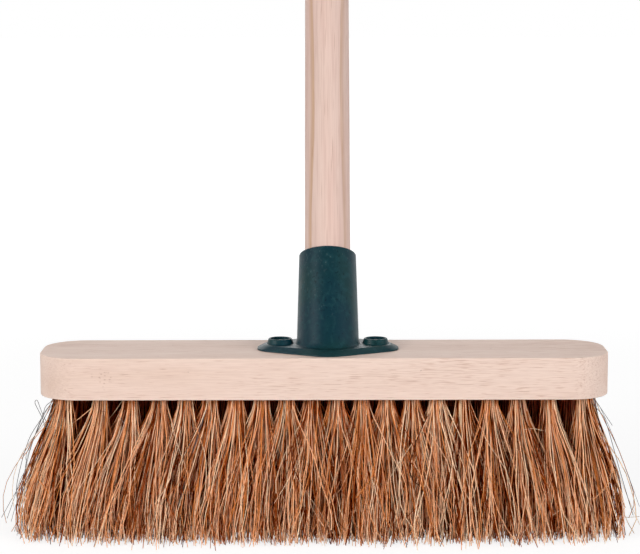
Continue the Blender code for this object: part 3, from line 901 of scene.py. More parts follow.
@dataclass
class HeadBlock:
    """The wooden head: a slab with round corners, softened edges and drilled holes for the tufts."""

    length: float = 0.305
    depth: float = 0.060
    underside: float = 0.072
    top: float = 0.0945
    corner_radius: float = 0.0220
    corner_steps: int = 28
    top_rounding: float = 0.0006
    foot_rounding: float = 0.0005
    edge_steps: int = 3
    smooth_below: float = 40.0
    hole_depth: float = 0.012
    hole_overrun: float = 0.004
    hole_radius: float = 0.0042
    hole_sides: int = 20
    edge_margin: float = 0.0046
    end_margin: float = 0.0058
    stagger_end_margin: float = 0.0164
    crowding: float = 0.10
    crowding_power: int = 6
    tufts: tuple[int, ...] = (20, 19, 20, 19, 20)

    @property
    def outer_row(self) -> float:
        """How far the front and back rows lie from the middle line."""
        return self.depth / 2 - self.edge_margin - self.hole_radius

    @property
    def row_pitch(self) -> float:
        """The distance from one row to the next."""
        return 2 * self.outer_row / (len(self.tufts) - 1)

    def across(self, row: Row) -> float:
        """How far a row lies behind the middle line."""
        return -self.outer_row + row.value * self.row_pitch

    def half_length(self, across: float) -> float:
        """Half the block's length at a distance from its middle line.

        Args:
            across: the distance, to either side.

        Returns:
            The half length, which is less where the corners are round.
        """
        into_corner = abs(across) - (self.depth / 2 - self.corner_radius)
        if into_corner <= 0:
            return self.length / 2
        return self.length / 2 - self.corner_radius + math.sqrt(self.corner_radius**2 - into_corner**2)

    def crowded(self, place: float) -> float:
        """A share of the row's half length that grows faster towards the block's end."""
        return (1 - self.crowding) * place + self.crowding * place * abs(place) ** (self.crowding_power - 1)

    def places(self, row: Row) -> list[float]:
        """Where the row's tufts stand along the block.

        Args:
            row: which row.

        Returns:
            Their places, from left to right.
        """
        count = self.tufts[row.value]
        staggered = count != max(self.tufts)
        margin = self.stagger_end_margin if staggered else self.end_margin
        last = self.half_length(self.across(row)) - margin - self.hole_radius
        widest = (count - 1) / max(self.tufts)
        shares = [widest * (2 * index / (count - 1) - 1) for index in range(count)]
        return [last * self.crowded(share) / self.crowded(widest) for share in shares]

    def holes(self) -> bpy.types.Object:
        """Model the drilled holes.

        Returns:
            One shape that is cut out of the block.
        """
        mesh = bmesh.new()
        low = self.underside - self.hole_overrun
        high = self.underside + self.hole_depth
        for row in Row:
            for along in self.places(row):
                spot = Matrix.Translation((along, self.across(row), (low + high) / 2))
                bmesh.ops.create_cone(
                    mesh, cap_ends=True, segments=self.hole_sides, radius1=self.hole_radius,
                    radius2=self.hole_radius, depth=high - low, matrix=spot,
                )
        return object_of("drilled_holes", mesh)

    def build(self) -> bpy.types.Object:
        """Model and dress the block.

        Returns:
            The block.
        """
        mesh = bmesh.new()
        bmesh.ops.create_cube(mesh, size=1.0)
        height = self.top - self.underside
        bmesh.ops.scale(mesh, vec=(self.length, self.depth, height), verts=mesh.verts)
        bmesh.ops.translate(mesh, vec=(0, 0, self.underside + height / 2), verts=mesh.verts)
        round_off(mesh, upright(mesh), self.corner_radius, self.corner_steps)
        round_off(mesh, level_at(mesh, self.top), self.top_rounding, self.edge_steps)
        round_off(mesh, level_at(mesh, self.underside), self.foot_rounding, self.edge_steps)
        block = object_of("head_block_wood", mesh)
        combine(block, [("DIFFERENCE", self.holes())])
        soften(block, self.smooth_below)
        return dress(block, BlockWood().material(), ["head_block"])


@dataclass
class SocketBracket:
    """The moulded bracket: a six-sided flange, two screw bosses and a tube that leans back."""

    block_top: float = 0.0945
    seat: float = 0.0946
    flange_top: float = 0.0976
    offset: float = 0.0021
    lean: float = math.radians(27.0)
    flange_length: float = 0.0762
    flange_depth: float = 0.0582
    flange_end: float = 0.0150
    edge_height: float = 0.0008
    slope_width: float = 0.0042
    crest_rounding: float = 0.0005
    point_rounding: float = 0.0080
    end_rounding: float = 0.0058
    soft_edge: float = 0.00022
    boss_spacing: float = 0.0516
    boss_foot: float = 0.0070
    boss_top: float = 0.0064
    boss_height: float = 0.0028
    boss_lip: float = 0.0006
    boss_fillet: float = 0.0007
    boss_sunk: float = 0.0008
    boss_base: float = 0.0004
    recess: float = 0.0052
    recess_lip: float = 0.00035
    tube_length: float = 0.0539
    tube_foot: float = 0.0169
    tube_rim: float = 0.0156
    straight_from: float = 0.0150
    rim_rounding: float = 0.0007
    skirt_reach: float = 0.0009
    skirt_height: float = 0.0028
    skirt_sunk: float = 0.0012
    skirt_root: float = 0.0004
    bore_floor: float = 0.0080
    bore_foot: float = 0.01132
    bore_rim: float = 0.01262
    bore_lip: float = 0.0003
    bore_lip_share: float = 1.2
    screw_below_rim: float = 0.0179
    screw_hole: float = 0.0020
    sink_radius: float = 0.0034
    sink_depth: float = 0.0018
    sink_hole: float = 0.00175
    sink_reach: float = 0.0080
    overrun: float = 0.0010
    overlap: float = 0.00005
    smooth_below: float = 38.0
    steps: int = 96
    level_rounds: int = 4
    point_steps: int = 10
    end_steps: int = 6
    crest_steps: int = 3
    edge_steps: int = 2
    skirt_steps: int = 7
    tube_steps: int = 8
    rim_steps: int = 4
    lip_steps: int = 3
    boss_steps: int = 4
    boss_sides: int = 56
    sink_sides: int = 40
    hole_sides: int = 32

    @property
    def placing(self) -> Matrix:
        """The tube's frame: Z along it, from the block's top face."""
        return Matrix.Translation((self.offset, 0, self.block_top)) @ Matrix.Rotation(-self.lean, 4, "X")

    @property
    def screw_place(self) -> float:
        """How far along the tube the handle's screw sits."""
        return self.tube_length - self.screw_below_rim

    @property
    def screw_frame(self) -> Matrix:
        """The handle's screw hole: Z out of the tube's back, from its surface."""
        mouth = Matrix.Translation((0, self.radius(self.screw_place), self.screw_place))
        return self.placing @ mouth @ Matrix.Rotation(-math.pi / 2, 4, "X")

    def radius(self, place: float) -> float:
        """The tube's outer radius at a place along it."""
        return self.tube_foot + (self.tube_rim - self.tube_foot) * place / self.tube_length

    def boss_place(self, side: Side) -> float:
        """How far along the block a boss stands."""
        return self.offset + side.value * self.boss_spacing / 2

    def square_ring(self, radius: float, place: float) -> list[Vector]:
        """A ring square to the tube."""
        turns = [math.tau * step / self.steps for step in range(self.steps)]
        return [self.placing @ Vector((radius * math.cos(t), radius * math.sin(t), place)) for t in turns]

    def level_ring(self, height: float, flare: float) -> list[Vector]:
        """A level ring where the tube, widened by the flare, passes a height over the block's top.

        Args:
            height: how high over the block's top face.
            flare: how far it stands out of the tube's own surface.

        Returns:
            The ring's points.
        """
        points = []
        for step in range(self.steps):
            turn = math.tau * step / self.steps
            place = height
            for _ in range(self.level_rounds):
                radius = self.radius(place)
                place = (height + radius * math.sin(turn) * math.sin(self.lean)) / math.cos(self.lean)
            point = self.placing @ Vector((radius * math.cos(turn), radius * math.sin(turn), place))
            middle = Vector((self.offset, height * math.tan(self.lean), point.z))
            points.append(point + (point - middle).normalized() * flare)
        return points

    def raised(
        self, mesh: bmesh.types.BMesh, face: bmesh.types.BMFace, height: float,
    ) -> list[bmesh.types.BMVert]:
        """Extrude a face straight up.

        Args:
            mesh: the mesh.
            face: the face.
            height: how far.

        Returns:
            The corners of its new top.
        """
        grown = bmesh.ops.extrude_face_region(mesh, geom=[face])["geom"]
        lifted = [part for part in grown if isinstance(part, bmesh.types.BMVert)]
        bmesh.ops.translate(mesh, vec=(0, 0, height), verts=lifted)
        return lifted

    def flange(self) -> bpy.types.Object:
        """Model the flange, with a low upright edge, a slope all round and soft corners.

        Returns:
            The flange.
        """
        half_length, half_depth = self.flange_length / 2, self.flange_depth / 2
        half_end = self.flange_end / 2
        corners = (
            (-half_length, -half_end), (0, -half_depth), (half_length, -half_end),
            (half_length, half_end), (0, half_depth), (-half_length, half_end),
        )
        mesh = bmesh.new()
        outline = mesh.faces.new([mesh.verts.new((x, y, self.seat)) for x, y in corners])
        self.raised(mesh, outline, self.edge_height)
        blunt = [edge for edge in upright(mesh) if abs(edge.verts[0].co.x) < half_end]
        round_off(mesh, blunt, self.point_rounding, self.point_steps)
        ends = [edge for edge in upright(mesh) if abs(edge.verts[0].co.x) > half_length - SAME_PLACE]
        round_off(mesh, ends, self.end_rounding, self.end_steps)
        ledge = max(mesh.faces, key=lambda face: face.calc_center_median().z)
        crest = self.raised(mesh, ledge, self.flange_top - self.seat - self.edge_height)
        bmesh.ops.delete(mesh, geom=[ledge], context="FACES_ONLY")
        across = self.slope_width * math.hypot(half_length, half_depth - half_end) / half_length
        narrowing = (1 - self.slope_width / half_length, 1 - across / half_depth, 1)
        bmesh.ops.scale(mesh, vec=narrowing, verts=crest)
        bmesh.ops.translate(mesh, vec=(self.offset, 0, 0), verts=mesh.verts)
        bmesh.ops.recalc_face_normals(mesh, faces=mesh.faces)
        round_off(mesh, level_at(mesh, self.flange_top), self.crest_rounding, self.crest_steps)
        edge_top = level_at(mesh, self.seat + self.edge_height)
        round_off(mesh, edge_top, self.soft_edge, self.edge_steps)
        return object_of("flange", mesh)

    def tube(self) -> bpy.types.Object:
        """Model the tube with its blind bore, round rim and the flare that meets the flange.

        Returns:
            The tube.
        """
        ground = self.flange_top - self.block_top
        rings = [self.level_ring(ground - self.skirt_sunk, self.skirt_reach + self.skirt_root)]
        for turn in quarter(self.skirt_steps):
            height = ground - 2 * self.overlap + self.skirt_height * (1 - math.cos(turn))
            rings.append(self.level_ring(height, self.skirt_reach * (1 - math.sin(turn))))
        straight = self.tube_length - self.rim_rounding - self.straight_from
        for step in range(self.tube_steps + 1):
            place = self.straight_from + straight * step / self.tube_steps
            rings.append(self.square_ring(self.radius(place), place))
        rim, lip = self.rim_rounding, self.bore_lip
        for turn in quarter(self.rim_steps, 1):
            place = self.tube_length - rim + rim * math.sin(turn)
            rings.append(self.square_ring(self.tube_rim - rim + rim * math.cos(turn), place))
        for turn in quarter(self.lip_steps):
            place = self.tube_length - self.bore_lip_share * lip + lip * math.cos(turn)
            rings.append(self.square_ring(self.bore_rim + lip - lip * math.sin(turn), place))
        rings.append(self.square_ring(self.bore_foot, self.bore_floor))
        return object_of("tube", lofted(rings))

    def boss(self, side: Side) -> bpy.types.Object:
        """Model one screw boss: a round wall with soft edges and a small fillet at its foot.

        Args:
            side: which boss.

        Returns:
            The boss.
        """
        top = self.flange_top + self.boss_height
        sunk = self.flange_top - self.boss_sunk
        lip, inner, fillet = self.boss_lip, self.recess_lip, self.boss_fillet
        profile = [(0.0, sunk), (self.recess, sunk)]
        profile += arc((self.recess + inner, top - inner), inner, 180, 90, self.lip_steps)
        profile += arc((self.boss_top - lip, top - lip), lip, 90, 8, self.boss_steps)
        foot = (self.boss_foot + fillet, self.flange_top + fillet - self.overlap)
        profile += arc(foot, fillet, 180, 270, self.boss_steps)
        profile += [(self.boss_foot + fillet, sunk - self.boss_base), (0.0, sunk - self.boss_base)]
        mesh = turned(profile, self.boss_sides)
        bmesh.ops.translate(mesh, vec=(self.boss_place(side), 0, 0), verts=mesh.verts)
        return object_of(f"boss_{side.name.lower()}", mesh)

    def countersink(self) -> bpy.types.Object:
        """Shape the hole through the tube's back that the handle's screw sits in.

        Returns:
            The hole's shape.
        """
        above, reach = 4 * self.overrun, self.sink_reach
        profile = [(0.0, above), (self.sink_radius, above), (self.sink_radius, 0.0)]
        profile += [(self.sink_hole, -self.sink_depth), (self.sink_hole, -reach), (0.0, -reach)]
        mesh = turned(profile, self.sink_sides)
        bmesh.ops.transform(mesh, matrix=self.screw_frame, verts=mesh.verts)
        return object_of("countersink", mesh)

    def flange_hole(self, side: Side) -> bpy.types.Object:
        """Shape the hole through the flange under a boss.

        Args:
            side: which boss.

        Returns:
            The hole's shape.
        """
        low, high = self.seat - 2 * self.overrun, self.flange_top + self.overrun
        profile = [(0.0, low), (self.screw_hole, low), (self.screw_hole, high), (0.0, high)]
        mesh = turned(profile, self.hole_sides)
        bmesh.ops.translate(mesh, vec=(self.boss_place(side), 0, 0), verts=mesh.verts)
        return object_of(f"flange_hole_{side.name.lower()}", mesh)

    def build(self) -> bpy.types.Object:
        """Model and dress the bracket.

        Returns:
            The bracket.
        """
        bracket = self.flange()
        bracket.name = "socket_bracket_moulding"
        steps = [("UNION", self.tube())]
        steps += [("UNION", self.boss(side)) for side in Side]
        steps += [("DIFFERENCE", self.flange_hole(side)) for side in Side]
        steps.append(("DIFFERENCE", self.countersink()))
        combine(bracket, steps)
        soften(bracket, self.smooth_below)
        return dress(bracket, MouldedPlastic().material(), ["socket_bracket"])


@dataclass
class Handle:
    """The round wooden handle, tapered in the socket and domed at its top."""

    placing: Matrix
    length: float = 1.200
    foot: float = 0.0083
    radius: float = 0.0125
    foot_radius: float = 0.0112
    foot_chamfer: float = 0.0010
    socket_end: float = 0.0539
    dome: float = 0.0085
    ring_spacing: float = 0.012
    waver: float = 0.00012
    waver_scale: Vector3 = (60.0, 60.0, 9.0)
    waver_fade: float = 0.05
    smooth_below: float = 40.0
    steps: int = 72
    dome_steps: int = 10

    def profile(self) -> Profile:
        """Work out the rod's profile from its foot to its dome.

        Returns:
            The profile.
        """
        points = [(0.0, self.foot), (self.foot_radius - self.foot_chamfer, self.foot)]
        points.append((self.foot_radius, self.foot + self.foot_chamfer))
        shoulder = self.foot + self.length - self.dome
        count = round((shoulder - self.socket_end) / self.ring_spacing)
        for step in range(count + 1):
            points.append((self.radius, self.socket_end + (shoulder - self.socket_end) * step / count))
        for turn in quarter(self.dome_steps, 1):
            points.append((self.radius * math.cos(turn), shoulder + self.dome * math.sin(turn)))
        return points

    def build(self) -> bpy.types.Object:
        """Model and dress the handle: turned, then made a little uneven as a wooden rod is.

        Returns:
            The handle.
        """
        mesh = turned(self.profile(), self.steps)
        for corner in mesh.verts:
            spot = corner.co
            free = min(1.0, max(0.0, (spot.z - self.socket_end) / self.waver_fade))
            outward = Vector((spot.x, spot.y, 0.0)).normalized()
            wave = noise.noise(spot * Vector(self.waver_scale))
            corner.co = spot + outward * wave * self.waver * free
        bmesh.ops.transform(mesh, matrix=self.placing, verts=mesh.verts)
        handle = object_of("handle_rod", mesh, self.smooth_below)
        return dress(handle, HandleWood().material(self.placing), ["handle"])


@dataclass
class Screws:
    """The bracket's two pan head screws and the handle's countersunk one, each with a cross recess."""

    bracket: SocketBracket
    pan_radius: float = 0.0040
    pan_height: float = 0.0017
    pan_crown_share: float = 0.6
    pan_shank: float = 0.0019
    pan_plain: float = 0.0026
    pan_reach: float = 0.0160
    pan_turn: Span = (0.5, 0.9)
    flat_radius: float = 0.0032
    flat_depth: float = 0.0017
    flat_shank: float = 0.0016
    flat_plain: float = 0.0027
    flat_reach: float = 0.0140
    flat_turn: float = 0.4
    flat_sunk: float = 0.0003
    head_edge: float = 0.0002
    point: float = 0.0030
    cross_length: float = 0.0040
    cross_width: float = 0.0009
    cross_depth: float = 0.0012
    cross_floor_share: Vector3 = (0.5, 0.6, 1.0)
    thread_pitch: float = 0.0011
    thread_depth: float = 0.00045
    thread_places: Vector3 = (0.1, 0.5, 0.9)
    steps: int = 40
    crown_steps: int = 8

    def slot(self, top: float, turn: float) -> bpy.types.Object:
        """One of the two slots that make the recess a driver fits, narrower at its floor.

        Args:
            top: the height of the head's top.
            turn: the slot's turn round the screw.

        Returns:
            The slot's shape.
        """
        mesh = bmesh.new()
        bmesh.ops.create_cube(mesh, size=1.0)
        size = (self.cross_length, self.cross_width, 2 * self.cross_depth)
        bmesh.ops.scale(mesh, vec=size, verts=mesh.verts)
        floor = [corner for corner in mesh.verts if corner.co.z < 0]
        bmesh.ops.scale(mesh, vec=self.cross_floor_share, verts=floor)
        bmesh.ops.rotate(mesh, cent=(0, 0, 0), matrix=Matrix.Rotation(turn, 3, "Z"), verts=mesh.verts)
        bmesh.ops.translate(mesh, vec=(0, 0, top), verts=mesh.verts)
        return object_of("slot", mesh)

    def threaded(self, shank: float, plain: float, reach: float) -> Profile:
        """Work out a shank's profile, with a ridge for every turn of its thread.

        Args:
            shank: the shank's radius, over the thread.
            plain: how far below the head's seat the thread starts.
            reach: how far down the point is.

        Returns:
            The profile, down to the point.
        """
        profile = []
        place = -plain
        core = shank - self.thread_depth
        while place - self.thread_pitch > -reach + self.point:
            for radius, share in zip((core, shank, core), self.thread_places):
                profile.append((radius, place - share * self.thread_pitch))
            place -= self.thread_pitch
        return profile + [(core, -reach + self.point), (0.0, -reach)]

    def pan(self) -> Profile:
        """Work out a pan head screw's profile, from its crown to its point.

        Returns:
            The profile, with the head's seat at zero.
        """
        flat = self.pan_height * (1 - self.pan_crown_share)
        profile = []
        for turn in quarter(self.crown_steps):
            crown = self.pan_height * self.pan_crown_share * math.cos(turn)
            profile.append((self.pan_radius * math.sin(turn), flat + crown))
        profile += [(self.pan_radius, self.head_edge), (self.pan_radius - self.head_edge, 0.0)]
        profile.append((self.pan_shank, 0.0))
        return profile + self.threaded(self.pan_shank, self.pan_plain, self.pan_reach)

    def flat(self) -> Profile:
        """Work out the countersunk screw's profile, from its flat top to its point.

        Returns:
            The profile, with the head's top at zero.
        """
        profile = [(0.0, 0.0), (self.flat_radius - self.head_edge, 0.0), (self.flat_radius, -self.head_edge)]
        profile.append((self.flat_shank, -self.flat_depth))
        return profile + self.threaded(self.flat_shank, self.flat_plain, self.flat_reach)

    def build(self) -> list[bpy.types.Object]:
        """Model and dress the three screws.

        Returns:
            The screws.
        """
        bracket = self.bracket
        plans = []
        for side in Side:
            seat = Vector((bracket.boss_place(side), 0, bracket.flange_top + bracket.overlap))
            turn = Matrix.Rotation(self.pan_turn[0] + self.pan_turn[1] * side.value, 4, "Z")
            name = f"bracket_screw_{side.name.lower()}"
            plans.append((name, self.pan(), self.pan_height, Matrix.Translation(seat) @ turn))
        sunk = Matrix.Translation((0, 0, -self.flat_sunk)) @ Matrix.Rotation(self.flat_turn, 4, "Z")
        plans.append(("handle_screw", self.flat(), 0.0, bracket.screw_frame @ sunk))
        material = ZincSteel().material()
        made = []
        for name, profile, top, place in plans:
            screw = object_of(f"{name}_steel", turned(profile, self.steps))
            combine(screw, [("DIFFERENCE", self.slot(top, turn)) for turn in (0.0, math.pi / 2)])
            screw.data.transform(place)
            soften(screw)
            made.append(dress(screw, material, [name]))
        return made


@dataclass
class Fibres:
    """A batch of fibres that are laid at once: their paths, thicknesses and tones."""

    paths: np.ndarray
    radii: np.ndarray
    tone: np.ndarray
    hue: np.ndarray
    backdrop_grey: np.ndarray

    @staticmethod
    def joined(batches: Sequence[Fibres]) -> Fibres:
        """Several batches as one."""
        names = [field.name for field in fields(Fibres)]
        return Fibres(*(np.concatenate([getattr(batch, name) for batch in batches]) for name in names))

    @staticmethod
    def section() -> bpy.types.Object:
        """Draw the section that all fibres share: a triangle of radius 1.

        Returns:
            The section's curve.
        """
        curve = bpy.data.curves.new("fibre_section", "CURVE")
        spline = curve.splines.new("POLY")
        spline.points.add(2)
        for index, corner in enumerate(spline.points):
            turn = -index * math.tau / 3
            corner.co = (math.cos(turn), math.sin(turn), 0.0, 1.0)
        spline.use_cyclic_u = True
        return link("fibre_section", curve)

    def laid(self, name: str) -> bpy.types.Object:
        """Make every fibre a thin three-sided tube in one mesh.

        Args:
            name: the piece's name.

        Returns:
            The piece, with a tone, a hue and a backdrop grey value at each vertex.
        """
        section = self.section()
        curve = bpy.data.curves.new(name, "CURVE")
        curve.dimensions = "3D"
        curve.bevel_mode = "OBJECT"
        curve.bevel_object = section
        curve.use_fill_caps = True
        whole = np.concatenate([self.paths, np.ones((*self.paths.shape[:2], 1))], axis=2)
        for path, radii in zip(whole, self.radii):
            spline = curve.splines.new("POLY")
            spline.points.add(len(path) - 1)
            spline.points.foreach_set("co", path.ravel())
            spline.points.foreach_set("radius", radii)
            spline.use_smooth = True
        thing = link(name, curve)
        mesh = evaluated(thing)
        mesh.name = name
        for used in (thing, section):
            data = used.data
            bpy.data.objects.remove(used)
            bpy.data.curves.remove(data)
        each = len(mesh.vertices) // len(self.paths)
        for label, values in (("tone", self.tone), ("hue", self.hue), ("backdrop_grey", self.backdrop_grey)):
            layer = mesh.attributes.new(label, "FLOAT", "POINT")
            layer.data.foreach_set("value", np.repeat(values, each).astype(np.float32))
        return link(name, mesh)


@dataclass
class CoirRows:
    """The tufts: bundles of coir that fan out from their holes to a trimmed, ragged foot."""

    block: HeadBlock
    fibres: int = 205
    points: int = 12
    spacing: float = 1.15
    thin: float = 0.00019
    thick: float = 0.00033
    dark_width: float = 0.66
    tip_share: float = 0.85
    root_height: float = 0.005
    splay_length: float = 0.0100
    sweep: float = -0.0036
    splay_turn: float = 1.65
    splay_depth: float = 0.0222
    splay_power: float = 1.25
    lean_scatter: Span = (0.0012, 0.0008)
    end_power: int = 8
    end_share: float = 0.999
    end_tuck: float = 0.30
    end_fan: float = 0.52
    end_calm: float = 0.6
    fan: Span = (0.0138, 0.0084)
    swell: Span = (0.88, 1.18)
    opening: Span = (1.30, 1.95)
    clumps: int = 22
    clump_inner: float = 0.05
    clump_pull: float = 0.08
    clump_scatter: float = 0.0016
    tip_scatter: float = 0.0046
    bow: float = 0.0040
    crimp: float = 0.00085
    beats: Span = (7.0, 20.0)
    wild_share: float = 0.11
    wild_scatter: float = 0.0095
    wild_bow: float = 2.2
    uneven: float = 0.0009
    short_share: float = 0.06
    short: Span = (0.0012, 0.0045)
    broken_share: float = 0.35
    broken: Span = (0.006, 0.028)
    # The inner rows' lower tone is painted shade; the facing tone paints light on an outer tuft's outside and
    # shade on its inside
    outer_tone: float = 0.69
    inner_shade_tone: float = 0.48
    facing_light_tone: float = 0.06
    end_tone: float = -0.07
    end_tone_power: int = 6
    bunch_tone_spread: float = 0.02
    tone_spread: float = 0.15
    light_share: float = 0.32
    light_tone: float = 0.20
    dark_share: float = 0.32
    dark_tone: float = -0.48
    hue: float = 0.45
    tuft_hue_spread: float = 0.12
    hue_spread: float = 0.25
    farthest: Span = (0.169, 0.064)
    seed: int = 11

    @property
    def way(self) -> np.ndarray:
        """How far down its fibre each point lies, from 0 to 1; the points crowd towards the hole."""
        return np.linspace(0, 1, self.points) ** self.spacing

    @staticmethod
    def on_disc(count: int, inner: float, chance: np.random.Generator) -> np.ndarray:
        """Scatter places evenly on a disc of radius 1.

        Args:
            count: how many.
            inner: the share of the disc in its middle that stays empty.
            chance: the random numbers.

        Returns:
            The places.
        """
        turn = chance.uniform(0, math.tau, count)
        reach = np.sqrt(chance.uniform(inner, 1, count))
        return np.stack([np.cos(turn), np.sin(turn)], axis=1) * reach[:, None]

    def tuft(self, along: float, row: Row, last: float, chance: np.random.Generator) -> Fibres:
        """Grow one tuft.

        Args:
            along: where its hole is along the block.
            row: its row.
            last: where the row's last hole is.
            chance: the random numbers.

        Returns:
            The tuft's fibres.
        """
        share = along / last
        hole = np.array([along, self.block.across(row)])
        disc = self.on_disc(self.fibres, 0, chance)
        centres = self.on_disc(self.clumps, self.clump_inner, chance)
        nearest = np.argmin(np.linalg.norm(disc[:, None] - centres[None], axis=2), axis=1)
        gathered = disc * (1 - self.clump_pull) + centres[nearest] * self.clump_pull
        drift = chance.normal(0, self.clump_scatter, (self.clumps, 2))[nearest]
        out, wild = self.fanned(gathered, drift, share, chance)
        lean = self.leaning(hole[1], share, chance)
        limit = np.array(self.farthest)
        out = np.clip(out, -limit - (hole + lean), limit - (hole + lean))
        root = disc * (self.block.hole_radius - self.thick)
        sideways = hole + self.bent(root, out, lean, wild, chance)
        head = self.block.underside + self.root_height
        height = head + (self.tips(wild, chance)[:, None] - head) * self.way
        paths = np.concatenate([sideways, height[..., None]], axis=2)
        along_out = round(share) if abs(share) > self.end_share else 0
        outward = np.array([along_out, {Row.FRONT: -1, Row.BACK: 1}.get(row, 0)])
        tone = self.tones(outward, disc, chance)
        tone += chance.normal(0, self.bunch_tone_spread, self.clumps)[nearest]
        tone += self.end_tone * share**self.end_tone_power
        size = self.thin + (self.thick - self.thin) * chance.uniform(0, 1, self.fibres)
        size *= self.dark_width + (1 - self.dark_width) * np.clip(2 * tone, 0, 1)
        taper = 1 - (1 - self.tip_share) * np.linspace(0, 1, self.points) ** 2
        hue = chance.normal(self.hue, self.tuft_hue_spread) + chance.normal(0, self.hue_spread, self.fibres)
        radii = size[:, None] * taper
        return Fibres(paths, radii, np.clip(tone, 0, 1), np.clip(hue, 0, 1), np.zeros(self.fibres))

    def fanned(
        self, gathered: np.ndarray, drift: np.ndarray, share: float, chance: np.random.Generator,
    ) -> tuple[np.ndarray, np.ndarray]:
        """Fan a tuft out, with a few wild fibres that stand out of it.

        Args:
            gathered: where in the tuft each fibre's tip is drawn to, on a disc of radius 1.
            drift: how far its clump strays.
            share: where the tuft is on its row, from -1 to 1.
            chance: the random numbers.

        Returns:
            How far each tip lies beside the hole, and which fibres are wild.
        """
        out = gathered * np.array(self.fan) * chance.uniform(*self.swell) + drift
        out += chance.normal(0, self.tip_scatter, (self.fibres, 2))
        near_end = share**self.end_power
        wild = chance.uniform(0, 1, self.fibres) < self.wild_share * (1 - self.end_calm * near_end)
        out[wild] += chance.normal(0, self.wild_scatter, (int(wild.sum()), 2))
        out[out[:, 0] * share > 0, 0] *= 1 - (1 - self.end_fan) * near_end
        return out, wild

    def leaning(self, across: float, share: float, chance: np.random.Generator) -> np.ndarray:
        """Work out how far a whole tuft leans.

        Args:
            across: where its row is across the block.
            share: where it is on its row, from -1 to 1.
            chance: the random numbers.

        Returns:
            The lean at the foot, along and across the block.
        """
        depth = self.splay_depth * (1 - self.end_tuck * share**self.end_power)
        return np.array([
            self.splay_length * share + self.sweep + chance.normal(0, self.lean_scatter[0]),
            depth * across / self.block.outer_row + chance.normal(0, self.lean_scatter[1]),
        ])

    def bent(
        self, root: np.ndarray, out: np.ndarray, lean: np.ndarray, wild: np.ndarray,
        chance: np.random.Generator,
    ) -> np.ndarray:
        """Bend and crimp the fibres on their way down.

        Args:
            root: where each starts, beside the hole's middle.
            out: how far each spreads.
            lean: how far they all lean.
            wild: which stand out.
            chance: the random numbers.

        Returns:
            Each fibre's points, beside the hole's middle.
        """
        t = self.way[None, :, None]
        held = self.root_height / (self.block.underside + self.root_height)
        free = np.clip((t - held) / (1 - held), 0, 1)
        turning = np.sin(math.pi / 2 * free)
        opening = chance.uniform(*self.opening, self.fibres)[:, None, None]
        bend = [lean[0] * turning**self.splay_turn, lean[1] * free**self.splay_power]
        sideways = root[:, None] + out[:, None] * turning**opening + np.concatenate(bend, axis=2)
        bow = chance.normal(0, self.bow, (self.fibres, 2)) * np.where(wild, self.wild_bow, 1.0)[:, None]
        sideways += bow[:, None] * (4 * t * (1 - t)) * t
        phase = chance.uniform(0, math.tau, (self.fibres, 2))[:, None]
        beat = chance.uniform(*self.beats, self.fibres)[:, None, None]
        return sideways + self.crimp * np.sin(beat * t + phase) * t

    def tips(self, wild: np.ndarray, chance: np.random.Generator) -> np.ndarray:
        """How high over the floor each fibre ends: most are trimmed level, some are shorter.

        Args:
            wild: which of them stand out.
            chance: the random numbers.

        Returns:
            The heights.
        """
        foot = np.abs(chance.normal(0, self.uneven, self.fibres)) + self.thick
        short = chance.uniform(0, 1, self.fibres) < self.short_share
        foot[short] = chance.uniform(*self.short, int(short.sum()))
        broken = wild & (chance.uniform(0, 1, self.fibres) < self.broken_share)
        foot[broken] = chance.uniform(*self.broken, int(broken.sum()))
        return foot

    def tones(self, outward: np.ndarray, disc: np.ndarray, chance: np.random.Generator) -> np.ndarray:
        """How light each fibre of a tuft is, with painted shade in it: the inner rows' fibres are darker than
        the outer tufts', and an outer tuft's fibres are lighter on its outside and darker on its inside.

        Args:
            outward: the way out of the broom where the tuft is an outer one, else zeros.
            disc: where the fibres stand in the hole.
            chance: the random numbers.

        Returns:
            The tones.
        """
        # Painted shade darkens the inner rows, and painted light and shade follow the way a fibre faces
        base = self.outer_tone if outward.any() else self.inner_shade_tone
        tone = base + chance.normal(0, self.bunch_tone_spread) + self.facing_light_tone * disc @ outward
        tone = tone + chance.normal(0, self.tone_spread, self.fibres)
        pick = chance.uniform(0, 1, self.fibres)
        tone += np.where(pick < self.light_share, self.light_tone, 0.0)
        return tone + np.where(pick > 1 - self.dark_share, self.dark_tone, 0.0)

    def build(self) -> list[bpy.types.Object]:
        """Grow and dress every section of every row.

        Returns:
            The sections.
        """
        material = CoirFibre().material()
        chance = np.random.default_rng(self.seed)
        made = []
        for row in Row:
            places = self.block.places(row)
            end = round(len(places) / len(Section))
            cuts = (0, end, len(places) - end, len(places))
            for section in Section:
                held = places[cuts[section.value]:cuts[section.value + 1]]
                batch = Fibres.joined([self.tuft(along, row, places[-1], chance) for along in held])
                name = f"{row.name}_{section.name}".lower()
                piece = batch.laid(f"coir_{name}")
                made.append(dress(piece, material, [f"bristles_{name}"]))
        return made


def smooth_line(knots: Sequence[Vector3], count: int) -> np.ndarray:
    """A smooth line through some knots.

    Args:
        knots: the knots, two or more.
        count: how many points the line has.

    Returns:
        The line's points.
    """
    spots = np.array(knots)
    ends = np.vstack([2 * spots[0] - spots[1], spots, 2 * spots[-1] - spots[-2]])
    place = np.linspace(0, len(spots) - 1, count)
    index = np.minimum(place.astype(int), len(spots) - 2)
    t = (place - index)[:, None]
    a, b, c, d = (ends[index + step] for step in range(4))
    return b + 0.5 * t * (c - a + t * (2 * a - 5 * b + 4 * c - d + t * (3 * (b - c) + d - a)))


